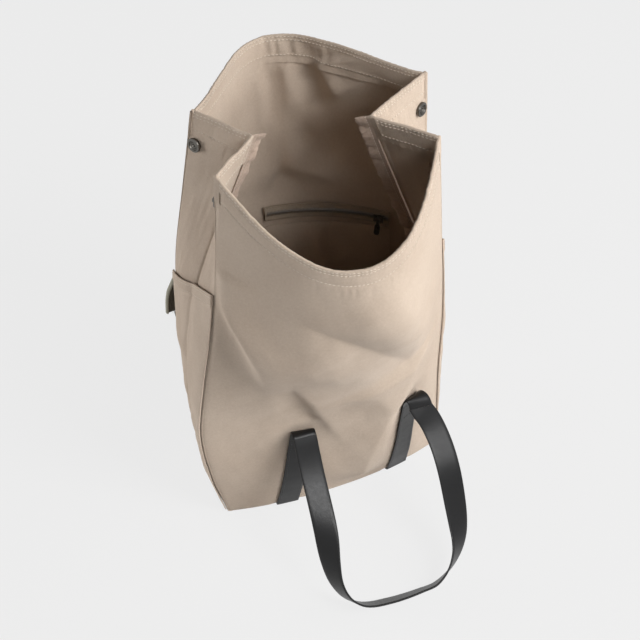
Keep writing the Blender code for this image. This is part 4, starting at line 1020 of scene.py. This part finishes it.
def fold_rings(panel, side, across, depth):
    """Rings of the fold, from the stitching to the line where the loop swings."""
    middle, forward = plain_fold(panel, side)
    axis_y, _, angle = hinge_line(panel)
    radius = FOLD_RADIUS + STRAP_LEATHER / 2 + STRAP_CLEAR + depth
    slack = abs(axis_y) - abs(middle[1]) - (FOLD_RADIUS * (1 + math.sin(angle))
                                            + STRAP_LEATHER / 2 * math.sin(angle))
    top = np.array([row_of(SEWN_HEIGHT)])
    sewn = strap_rows(panel, side, top, across, np.full(len(across), -STRAP_CLEAR - STRAP_LEATHER / 2))[0]
    sway = FOLD_SWAY[side] * (STRAP_TOP_SHARES["right"] - STRAP_TOP_SHARES["left"]) * HALF_WIDTH
    rings = []
    for k in range(1, FOLD_STEPS + 1):
        share = k / FOLD_STEPS
        turn = (math.pi / 2 + angle) * share
        reach = FOLD_RADIUS - radius * math.cos(turn) + slack * share
        arch = FOLD_ARCH[side] * math.sin(math.pi * share)
        bend = np.stack([0 * reach, forward * reach, radius * math.sin(turn) + arch], axis=1)
        level = share * share * (3 - 2 * share)
        rings.append(middle + bend + (1 - level) * (sewn - middle)
                     + level * np.stack([across + sway, 0 * across, 0 * across], axis=1))
    return rings


def sewn_strap(side):
    """Leather sewn up the front, under the base and up the back, folded over at each end."""
    across, depth = strap_ring()
    sewn = row_of(SEWN_HEIGHT)
    levels = np.concatenate([np.linspace(-1, 0, 9)[:-1], np.linspace(0, sewn, 60)])
    front = strap_rows("front_panel", side, levels, across, depth)
    back = strap_rows("back_panel", side, levels, across, depth)
    under = [front[0] + (back[0] - front[0]) * w for w in np.linspace(0, 1, 22)[1:-1]]
    rings = (fold_rings("front_panel", side, across, depth)[::-1] + list(front[::-1]) + under
             + list(back) + fold_rings("back_panel", side, across, depth))
    tube(side + "_sewn_strap", rings, LEATHER, stands_for=(side + "_strap_run",))
    lines = []
    for panel in ("front_panel", "back_panel"):
        rows = np.linspace(0.004, sewn - 0.012, 60)
        for edge in (-0.5, 0.5):
            at = np.array([edge * (STRAP_WIDTH - 0.006)])
            places = strap_rows(panel, side, rows, at, np.array([-STRAP_CLEAR - STRAP_LEATHER]))[:, 0]
            normals = cloth_normal(panel, strap_share(panel, side, rows), rows)
            lines.append((places + normals * 0.00005, normals))
        at = np.linspace(-0.5, 0.5, 12) * (STRAP_WIDTH - 0.006)
        for drop in (0.0, 0.045):
            row = np.array([sewn - 0.010 - drop])
            places = strap_rows(panel, side, row, at, np.full(12, -STRAP_CLEAR - STRAP_LEATHER))[0]
            normals = np.repeat(cloth_normal(panel, strap_share(panel, side, row), row), 12, axis=0)
            lines.append((places + normals * 0.00005, normals))
    return lines


# Carrying loop in its own plane: across and down, as shares of its spread and drop, and how far
# the leather has turned on edge, as a share of a right angle
LOOP_SHARES = (
    (-0.500, 0.00, 0.00), (-0.500, 0.14, 0.00), (-0.502, 0.34, 0.02), (-0.508, 0.53, 0.16),
    (-0.522, 0.70, 0.50), (-0.512, 0.82, 0.72), (-0.455, 0.912, 0.86), (-0.360, 0.968, 0.94),
    (-0.250, 0.993, 0.97), (-0.090, 1.00, 0.97), (0.060, 1.00, 0.95), (0.210, 0.993, 0.92),
    (0.363, 0.980, 0.88), (0.505, 0.925, 0.76), (0.605, 0.85, 0.60), (0.660, 0.77, 0.42),
    (0.682, 0.68, 0.24), (0.690, 0.555, 0.08), (0.688, 0.395, 0.00), (0.672, 0.22, 0.00),
    (0.628, 0.09, 0.00), (0.560, 0.00, 0.00),
)
LOOP_SPRING = 0.16  # slope of the leather's wave on its way down
LOOP_WAVE = {"left": 0.74, "right": 0.48}  # share of the way that the wave takes


def bent_leg(side):
    """Rise of a loop's leg off its straight plane, at shares of its drop."""
    share = np.linspace(0, 1, 60)
    wave = -np.cos(2 * math.pi * np.minimum(share / LOOP_WAVE[side], 1))
    slope = LOOP_SPRING * wave * smooth(0, 0.06, share) * smooth(0, 0.2, 0.9 - share)
    return share, np.cumsum(slope) * HANDLE_DROP * (share[1] - share[0])


def carrying_loop(panel):
    """Loop of leather that lies out from its folds down to the ground, turned on edge at its far end."""
    axis_y, axis_z, angle = hinge_line(panel)
    forward = -1 if panel == "front_panel" else 1
    left, right = (STRAP_TOP_SHARES[s] * HALF_WIDTH for s in ("left", "right"))
    down = np.array([0, forward * math.cos(angle), -math.sin(angle)])
    facing = np.array([0, forward * math.sin(angle), math.cos(angle)])
    start = np.array([(left + right) / 2, axis_y, axis_z]) - facing * STRAP_LEATHER / 2 + down * SEAM_GAP
    route = spline([((right - left) * a, HANDLE_DROP * d, HANDLE_DROP * t) for a, d, t in LOOP_SHARES], 150)
    flat = route[:, :1] * np.array([1.0, 0, 0]) + route[:, 1:2] * down
    along = np.gradient(flat, axis=0)
    along[0], along[-1] = down, -down
    along = unit(along)
    outward = np.cross(along, facing) * -forward
    turn = (route[:, 2:3] / HANDLE_DROP) * math.pi / 2
    face = np.cos(turn) * facing + np.sin(turn) * outward
    sides = np.cross(along, face)
    bends = [np.interp(route[:, 1] / HANDLE_DROP, *bent_leg(side)) for side in ("left", "right")]
    lift = np.where(route[:, 0] < 0, *bends) * (1 - route[:, 2] / HANDLE_DROP)
    centres = start + flat + facing * lift[:, None]
    slope = np.gradient(centres, axis=0)
    slope[0], slope[-1] = down, -down
    slope = unit(slope)
    face = unit(np.cross(sides, slope))
    section = band_section(STRAP_WIDTH / 2, STRAP_LEATHER / 2, across=9, edge=3)
    name = panel.split("_")[0]
    tube(name + "_carrying_loop", swept(centres, sides, face, section), LEATHER, body=name + "_loop",
         stands_for=(name + "_handle",))


# Press studs

STUD_RADIUS, STUD_HEIGHT = 0.0075, 0.0034
STUD_ACROSS_SHARE, STUD_UP_SHARE = 0.17, 0.925
SOCKET_PROFILE = ((0, 0), (0.98, 0), (1.0, 0.25), (1.0, 0.62), (0.97, 0.84), (0.90, 0.97), (0.80, 1.0),
                  (0.71, 0.95), (0.655, 0.80), (0.64, 0.56), (0.60, 0.46), (0.50, 0.44), (0.44, 0.50),
                  (0.40, 0.66), (0.33, 0.74), (0.25, 0.68), (0.20, 0.45), (0.17, 0.30), (0, 0.28))
KNOB_PROFILE = ((0, 0), (0.98, 0), (1.0, 0.20), (0.97, 0.40), (0.88, 0.50), (0.60, 0.46), (0.48, 0.44),
                (0.40, 0.50), (0.385, 0.80), (0.41, 1.10), (0.40, 1.35), (0.30, 1.52), (0.15, 1.60),
                (0, 1.62))


def turned(name, place, axis, profile, steps=40, **keep):
    side = unit(np.cross(axis, np.array([0.13, 0.31, 0.94])))
    other = np.cross(axis, side)
    angles = np.arange(steps) * 2 * math.pi / steps
    ring = np.cos(angles)[:, None] * side + np.sin(angles)[:, None] * other
    rings = [place + axis * h + ring * max(r, 1e-5) for r, h in profile]
    return tube(name, rings, METAL, **keep)


def press_studs():
    """Socket on each rear gusset half and ball on each front half, near the mouth."""
    for side in ("left", "right"):
        for half, at_end in (("back", side == "left"), ("front", side == "right")):
            panel = side + "_gusset_" + half
            u = STUD_ACROSS_SHARE if at_end else 1 - STUD_ACROSS_SHARE
            normal = cloth_normal(panel, np.array(u), np.array(STUD_UP_SHARE))
            place = cloth(panel, u, STUD_UP_SHARE) + normal * 0.0002
            part, kind = (SOCKET_PROFILE, "socket") if half == "back" else (KNOB_PROFILE, "knob")
            profile = [(r * STUD_RADIUS, h * STUD_HEIGHT) for r, h in part]
            turned(side + "_press_stud_" + kind, place, normal, profile,
                   stands_for=(side + "_snap_" + kind,))


# Zip pocket inside the back wall

ZIP_LEVEL, TAPE_WIDTH, TAPE_CLOTH = 0.300, 0.018, 0.0008
ZIP_CENTRE = np.array([-0.03998, -0.11277])
ZIP_RADIUS, ZIP_SLOPE = 0.22242, 0.26355
ZIP_START, ZIP_END = math.radians(52.68), math.radians(87.62)
ZIP_SPAN_SHARES = (0.12, 0.60)
COIL_PITCH = 0.0015
POUCH_DEPTH = 0.150


def zip_frames(angles):
    """Places on the zip's own cone, and the ways up it, into the bag and along it."""
    away = np.stack([np.cos(angles), np.sin(angles), 0 * angles], axis=-1)
    place = np.array([*ZIP_CENTRE, ZIP_LEVEL]) + away * ZIP_RADIUS
    up = unit(np.array([0, 0, 1.0]) + away * ZIP_SLOPE)
    inward = unit(np.array([0, 0, ZIP_SLOPE]) - away)
    return place, up, inward, np.cross(up, inward)


def zip_pocket():
    angles = np.linspace(ZIP_START, ZIP_END, 120)
    place, up, inward, _ = zip_frames(angles)
    section = band_section(TAPE_WIDTH / 2, TAPE_CLOTH / 2, across=15, edge=2)
    rise = section[:, 0] / (TAPE_WIDTH / 2)
    crown = 0.00035 * bell(np.abs(rise), 0.42, 0.1)
    rings = swept(place + inward * TAPE_CLOTH / 2, up, inward, section) + inward[:, None] * crown[:, None]
    tube("zip_tape_cloth", rings, ZIP_TAPE, stands_for=("zip_tape",))
    pitch = COIL_PITCH / ZIP_RADIUS
    points, faces = [], []
    for k, angle in enumerate(np.arange(ZIP_START + pitch, ZIP_END - pitch, pitch / 2)):
        p, u, i, _ = (x[0] for x in zip_frames(np.array([angle])))
        side = 1 if k % 2 else -1
        first = len(points)
        for t in np.radians(np.arange(0, 360, 45)):
            for a in (-1, 1):
                points.append(p + i * (0.0013 + 0.0008 * math.sin(t))
                              + u * (side * 0.0009 + 0.0019 * math.cos(t))
                              + np.cross(u, i) * a * 0.00030)
        for t in range(8):
            n = (t + 1) % 8
            faces.append((first + 2 * t, first + 2 * n, first + 2 * n + 1, first + 2 * t + 1))
        faces.append(tuple(first + 2 * t for t in range(8)))
        faces.append(tuple(first + 2 * t + 1 for t in range(7, -1, -1)))
    new_piece("zip_coil_teeth", points, faces, COIL, stands_for=("zip_coil",))
    lines = []
    for edge in (-0.82, 0.82):
        lines.append((place + up * edge * TAPE_WIDTH / 2 + inward * (TAPE_CLOTH + 0.0001), inward))
    return lines


def pocket_pouch():
    """Cloth of the inner pocket, sewn round its edge and hanging a little loose below the zip."""
    first, last = ZIP_SPAN_SHARES
    u = np.linspace(first, last, 60)
    v = np.linspace(row_of(ZIP_LEVEL - POUCH_DEPTH), row_of(ZIP_LEVEL - TAPE_WIDTH / 2 - 0.003), 60)
    uu, vv = np.meshgrid(u, v)
    a, b = (uu - first) / (last - first), (vv - v[0]) / (v[-1] - v[0])
    swell = np.clip(np.sin(math.pi * a), 0, 1) ** 0.6 * np.clip(np.sin(math.pi * b), 0, 1) ** 0.6
    folds = 0.0022 * bell(a - 0.35 - 0.25 * b, 0, 0.06) + 0.0016 * bell(a - 0.72 + 0.2 * b, 0, 0.05)
    loose = 0.0040 * swell + (folds + 0.0008 * rolling(a * 0.13, b * 0.14, 77, 0.05)) * swell
    depth = CANVAS + 0.0012 + loose
    low, high = cloth("back_panel", uu, vv, depth), cloth("back_panel", uu, vv, depth + 0.0011)
    piece = folded_sheet("inner_pocket_cloth", [*low, *high[::-1]], u * FACE_SPAN,
                         [*(v * HEIGHT), *(v[::-1] * HEIGHT)], HEM_CLOTH, stands_for=("zip_pouch",))
    cut_cloth(piece, high)


def patch(name, panel, low_u, high_u, low_v, high_v, depth, thickness, material, stands_for,
          columns=30, rows=24):
    """Cloth patch with rounded edges, laid on the outside of a wall."""
    def eased(n):
        t = np.linspace(-1, 1, n)
        return (np.sign(t) * (1 - (1 - np.abs(t)) ** 1.6) + 1) / 2

    u = low_u + (high_u - low_u) * eased(columns)
    v = low_v + (high_v - low_v) * eased(rows)
    uu, vv = np.meshgrid(u, v)
    span_u, span_v = (high_u - low_u) * FACE_SPAN, (high_v - low_v) * HEIGHT
    edge = np.minimum(np.minimum(uu - low_u, high_u - uu) / (high_u - low_u) * span_u,
                      np.minimum(vv - low_v, high_v - vv) / (high_v - low_v) * span_v)
    full = np.sqrt(np.clip(1 - (1 - np.clip(edge / 0.0012, 0, 1)) ** 2, 0, 1))
    dip = 0.0004 * bell(edge, 0.0035, 0.0010)
    outer = cloth(panel, uu, vv, -(depth + thickness * (0.35 + 0.65 * full) - dip))
    inner = cloth(panel, uu, vv, -depth)
    folded_sheet(name, [*outer, *inner[::-1]], u * FACE_SPAN, [*(v * HEIGHT), *(v[::-1] * HEIGHT)],
                 material, stands_for=stands_for)
    m_u, m_v = 0.0035 / FACE_SPAN, 0.0035 / HEIGHT
    corners = ((low_u + m_u, low_v + m_v), (high_u - m_u, low_v + m_v), (high_u - m_u, high_v - m_v),
               (low_u + m_u, high_v - m_v))
    return corners, -(depth + thickness)


def patch_lines(panel, corners, depth, crossed):
    """Stitching round a patch, and its two diagonals."""
    order = [(0, 1), (1, 2), (2, 3), (3, 0)] + ([(0, 2), (1, 3)] if crossed else [])
    lines = []
    for i, j in order:
        t = np.linspace(0, 1, 40)
        u = corners[i][0] + (corners[j][0] - corners[i][0]) * t
        v = corners[i][1] + (corners[j][1] - corners[i][1]) * t
        normal = cloth_normal(panel, u, v)
        lines.append((cloth(panel, u, v, depth) + normal * 0.0001, normal))
    return lines


# Shoulder straps

PAD_WIDTH, PAD_THICKNESS, PAD_STANDOFF = 0.055, 0.010, 0.034
PAD_SHARES = ((0.62, 0.80, 0.0), (0.64, 0.76, 0.05), (0.69, 0.70, 0.20), (0.77, 0.60, 0.34),
              (0.85, 0.51, 0.48), (0.91, 0.43, 0.60), (0.94, 0.37, 0.66))
PAD_STATIONS, PAD_TAPER_STATIONS = 16, 2.5
PAD_ROW, PAD_CHANNEL = 0.72, 0.22  # stitched row, as a share of half the width, and how deep it draws in
WEB_WIDTH, WEB_CLOTH = 0.025, 0.0016
YOKE_LENGTH, YOKE_WIDTH, YOKE_CLOTH = 0.190, 0.034, 0.0020
ANCHOR_SIDE, ANCHOR_CLOTH = 0.034, 0.0024
ANCHOR_ACROSS_SHARE, ANCHOR_UP_SHARE = 0.93, 0.10


def from_left(side, share):
    """A share across the back wall, mirrored for the right strap."""
    return share if side == "left" else 1 - share


def way_across(across, level):
    step = 1e-3
    return unit(wall("back_panel", across + step, level) - wall("back_panel", across - step, level))


def pad_stations(side, count):
    """Middles, outward ways, width ways and thinning down one padded strap."""
    route = spline([(a * BASE_WIDTH, up * HEIGHT, off * PAD_STANDOFF) for a, up, off in PAD_SHARES], count)
    across = from_left(side, route[:, 0] / BASE_WIDTH)
    level = route[:, 1] / HEIGHT
    normal = plain_normal("back_panel", across, level)
    station = np.linspace(0, PAD_STATIONS - 1, count)
    thin = 1 - 0.33 * np.clip(1 - station / PAD_TAPER_STATIONS, 0, 1)
    narrow = 1 - 0.22 * np.clip(1 - station[::-1] / PAD_TAPER_STATIONS, 0, 1)
    gap = 2 * SEAM_GAP + PAD_THICKNESS / 2 * thin + route[:, 2]
    place = wall("back_panel", across, level) + normal * gap[:, None]
    return place, normal, way_across(across, level), thin, narrow


def shoulder_pad(side):
    """Foam-filled strap: canvas outside, dark brown cloth against the back as painted shade, bound along its
    two edges.
    """
    count = 90
    place, normal, along, thin, narrow = pad_stations(side, count)
    turns = np.radians(np.linspace(0, 360, 40, endpoint=False))
    c, s = np.cos(turns), np.sin(turns)
    a = np.sign(c) * np.abs(c) ** 0.62
    b = np.sign(s) * np.abs(s) ** 0.72
    channel = 1 - PAD_CHANNEL * bell(np.abs(a), PAD_ROW, 0.07)
    half_w = (PAD_WIDTH / 2 - 0.001) * narrow
    half_t = PAD_THICKNESS / 2 * thin * 0.94
    run = run_along(place)
    puff = 1 + 0.05 * np.sin(run / 0.021 * 2 * math.pi + 1.0)
    end = np.sqrt(np.clip(1 - (1 - np.clip(np.minimum(run, run[-1] - run) / 0.006, 0, 1)) ** 2, 0.12, 1))
    rings = (place[:, None] + along[:, None] * (half_w[:, None] * a[None])[..., None]
             + normal[:, None] * ((half_t * puff * end)[:, None] * (b * channel)[None])[..., None])
    pad = tube(side + "_padded_strap", rings, CANVAS_CLOTH, stands_for=(side + "_shoulder_pad",))
    pad.data.materials.append(PAD_SHADE_CLOTH)
    # faces turned towards the bag take the darker cloth, which paints in their shade
    lengthwise = np.array([p.normal[:] for p in pad.data.polygons])
    centres = np.array([p.center[:] for p in pad.data.polygons])
    nearest = np.argmin(np.linalg.norm(centres[:, None] - place[None], axis=2), axis=1)
    inner = np.sum(lengthwise * normal[nearest], axis=1) < -0.55
    pad.data.polygons.foreach_set("material_index", inner.astype(np.int32))
    lines = []
    for edge in (-PAD_ROW, PAD_ROW):
        for face in (1, -1):
            lift = (half_t * puff * (1 - PAD_CHANNEL) * (1 - abs(edge) ** 3.2) ** 0.72 + 0.0001)
            lines.append((place + along * (half_w * edge)[:, None] + normal * (face * lift)[:, None],
                          normal * face))
    for edge in (-1, 1):
        t = np.radians(np.linspace(0, 360, 12, endpoint=False))
        centre = place + along * (half_w * edge * 0.985)[:, None]
        ring = (centre[:, None] + along[:, None] * (0.0016 * np.cos(t))[None, :, None]
                + normal[:, None] * ((half_t * 0.62)[:, None] * np.sin(t)[None])[..., None])
        tube("%s_padded_strap_tape_%s" % (side, "inner" if edge < 0 else "outer"), ring, PAD_TAPE)
    return lines


def web_line(side):
    """Straight webbing from the end of the pad to its anchor: ends, and its three directions."""
    place, normal, _, _, _ = pad_stations(side, PAD_STATIONS)
    point, normal = place[-1], normal[-1]
    across = from_left(side, ANCHOR_ACROSS_SHARE)
    along = way_across(across, ANCHOR_UP_SHARE)
    foot = (wall("back_panel", across, ANCHOR_UP_SHARE)
            + plain_normal("back_panel", across, ANCHOR_UP_SHARE)
            * (ANCHOR_CLOTH + 4 * SEAM_GAP + WEB_CLOTH / 2))
    direction = unit(foot - point)
    width = unit(along - direction * (along @ direction))
    face = unit(np.cross(width, direction))
    if face @ normal < 0:
        face = -face
    return point + direction * (SEAM_GAP + PAD_THICKNESS / 4), foot, direction, width, face


def webbing(side):
    """Nylon webbing with thicker edges and a rib for each weft."""
    start, foot, _, width, face = web_line(side)
    count = 120
    centres = start + (foot - start) * np.linspace(0, 1, count)[:, None]
    section = band_section(WEB_WIDTH / 2, WEB_CLOTH / 2 * 0.96, across=15, edge=2)
    rings = swept(centres, np.repeat(width[None], count, 0), np.repeat(face[None], count, 0), section)
    rib = 0.94 + 0.06 * np.cos(np.arange(count) * math.pi)
    middle = centres[:, None]
    off = np.sum((rings - middle) * face, axis=2)
    rings = rings - face * (off * (1 - rib[:, None]))[..., None]
    tube(side + "_web_strap", rings, WEBBING, stands_for=(side + "_webbing",))


def shoulder_straps():
    pad_lines, patch_threads = [], []
    for side in ("left", "right"):
        pad_lines += shoulder_pad(side)
        webbing(side)
        across = from_left(side, ANCHOR_ACROSS_SHARE)
        half, rise = ANCHOR_SIDE / 2 / BASE_WIDTH, ANCHOR_SIDE / 2 / HEIGHT
        corners, depth = patch(side + "_strap_patch", "back_panel", across - half, across + half,
                               ANCHOR_UP_SHARE - rise, ANCHOR_UP_SHARE + rise, 2 * SEAM_GAP,
                               ANCHOR_CLOTH - 0.0002, CANVAS_CLOTH, (side + "_strap_anchor",))
        patch_threads += patch_lines("back_panel", corners, depth, crossed=True)
    rise = YOKE_WIDTH / 2 / HEIGHT
    row = PAD_SHARES[0][1] + rise + 2 * SEAM_GAP / HEIGHT
    reach = YOKE_LENGTH / 2 / BASE_WIDTH
    corners, depth = patch("shoulder_yoke", "back_panel", 0.5 - reach, 0.5 + reach, row - rise, row + rise,
                           2 * SEAM_GAP, YOKE_CLOTH, CANVAS_CLOTH, ("strap_yoke",), columns=90)
    patch_threads += patch_lines("back_panel", corners, depth, crossed=False)
    stitches("padded_strap_stitches", pad_lines, PALE_THREAD)
    stitches("patch_stitches", patch_threads, PALE_THREAD, pitch=0.0036, length=0.0026)


base_canvas()
hem_stitches()
corner_stitches()
bindings()
stitches("side_pocket_stitches", side_pocket("left") + side_pocket("right"), PALE_THREAD)
stitches("strap_stitches", sewn_strap("left") + sewn_strap("right"), BLACK_THREAD, pitch=0.0040,
         length=0.0029, thickness=0.0006)
for face_name in ("front_panel", "back_panel"):
    carrying_loop(face_name)
press_studs()
stitches("zip_stitches", zip_pocket(), BROWN_THREAD, pitch=0.0030, length=0.0021, thickness=0.0004)
pocket_pouch()
shoulder_straps()
for node in ("zip_slider", "zip_puller", "left_adjuster", "right_adjuster"):
    part = bpy.data.objects[node]
    for slot in part.material_slots:
        slot.material = METAL


# Camera, light and floor

CAMERA_FROM = (-0.2868, -0.9305, 1.5074)
CAMERA_TO = (-0.002, 0.001, 0.238)
FOCAL_PIXELS, IMAGE_PIXELS = 1500.0, 640.0
PAPER = "#EEEEEE"
STEADY_SHARE = 0.93  # of the floor's colour to the eye; the rest takes the light and the shadow


def aimed(name, data, place, target):
    """A camera or lamp that looks from its place at a target."""
    thing = link(bpy.data.objects.new(name, data))
    thing.location = place
    thing.rotation_euler = (Vector(target) - Vector(place)).to_track_quat("-Z", "Y").to_euler()
    return thing


def add_camera():
    data = bpy.data.cameras.new("camera")
    data.sensor_width = 36.0
    data.lens = FOCAL_PIXELS / IMAGE_PIXELS * data.sensor_width
    bpy.context.scene.camera = aimed("camera", data, CAMERA_FROM, CAMERA_TO)


def add_softbox(name, place, target, size, power, gloss=False):
    """Lamp that lights the cloth, or with gloss one that only shines in leather and metal."""
    data = bpy.data.lights.new(name, "AREA")
    data.shape = "RECTANGLE"
    data.size, data.size_y = size
    data.energy = power
    lamp = aimed(name, data, place, target)
    lamp.visible_glossy, lamp.visible_diffuse = gloss, not gloss


def seen_by_the_eye(tree):
    """1 for rays from the camera and for those mirrored or let through on their way there."""
    ray = add(tree, "ShaderNodeLightPath").outputs
    return calc(tree, "MAXIMUM", calc(tree, "MAXIMUM", ray["Is Camera Ray"], ray["Is Glossy Ray"]),
                ray["Is Transmission Ray"])


def add_floor():
    """Pale seamless paper: its colour is steady to the eye and it still takes a faint shadow."""
    material = bpy.data.materials.new("studio_paper")
    material.use_nodes = True
    tree = material.node_tree
    tree.nodes.clear()
    matt = add(tree, "ShaderNodeBsdfDiffuse", {"Color": srgb(PAPER)})
    steady = add(tree, "ShaderNodeEmission", {"Color": srgb(PAPER), "Strength": 1.0})
    seen = calc(tree, "MULTIPLY", seen_by_the_eye(tree), STEADY_SHARE)
    mixed = add(tree, "ShaderNodeMixShader", {0: seen, 1: matt.outputs["BSDF"],
                                              2: steady.outputs["Emission"]})
    add(tree, "ShaderNodeOutputMaterial", {"Surface": mixed.outputs["Shader"]})
    mesh = bpy.data.meshes.new("floor")
    size = 6.0
    mesh.from_pydata([(-size, -size, 0), (size, -size, 0), (size, size, 0), (-size, size, 0)], [],
                     [(0, 1, 2, 3)])
    mesh.materials.append(material)
    floor = link(bpy.data.objects.new("floor", mesh))


def add_world():
    world = bpy.data.worlds.new("studio")
    bpy.context.scene.world = world
    world.use_nodes = True
    tree = world.node_tree
    tree.nodes.clear()
    seen = seen_by_the_eye(tree)
    room = add(tree, "ShaderNodeBackground", {"Color": srgb("#FFFFFF"), "Strength": 0.01})
    paper = add(tree, "ShaderNodeBackground", {"Color": srgb(PAPER), "Strength": 1.0})
    mixed = add(tree, "ShaderNodeMixShader", {0: seen, 1: room.outputs["Background"],
                                              2: paper.outputs["Background"]})
    add(tree, "ShaderNodeOutputWorld", {"Surface": mixed.outputs["Shader"]})


add_camera()
add_softbox("key", (2.4, -0.45, 1.45), (0, 0, 0.30), (1.5, 1.5), 25.0)
add_softbox("front right fill", (1.7, -1.7, 1.2), (0, 0, 0.25), (1.2, 1.2), 20.7)
add_softbox("high front right", (1.3, -1.3, 2.2), (0, 0, 0.35), (1.0, 1.0), 46.6)
add_softbox("low back left", (-2.0, 0.9, 0.44), (0, 0, 0.25), (1.2, 0.6), 29.0)
add_softbox("front fill", (0.45, -1.8, 1.9), (0.05, -0.12, 0.1), (0.8, 0.5), 7.4)
add_softbox("gloss strip", (0.20, -1.65, 2.1), (0.0, -0.12, 0.1), (1.0, 0.6), 30.0, gloss=True)
add_floor()
add_world()
bpy.context.scene.view_settings.view_transform = "Standard"
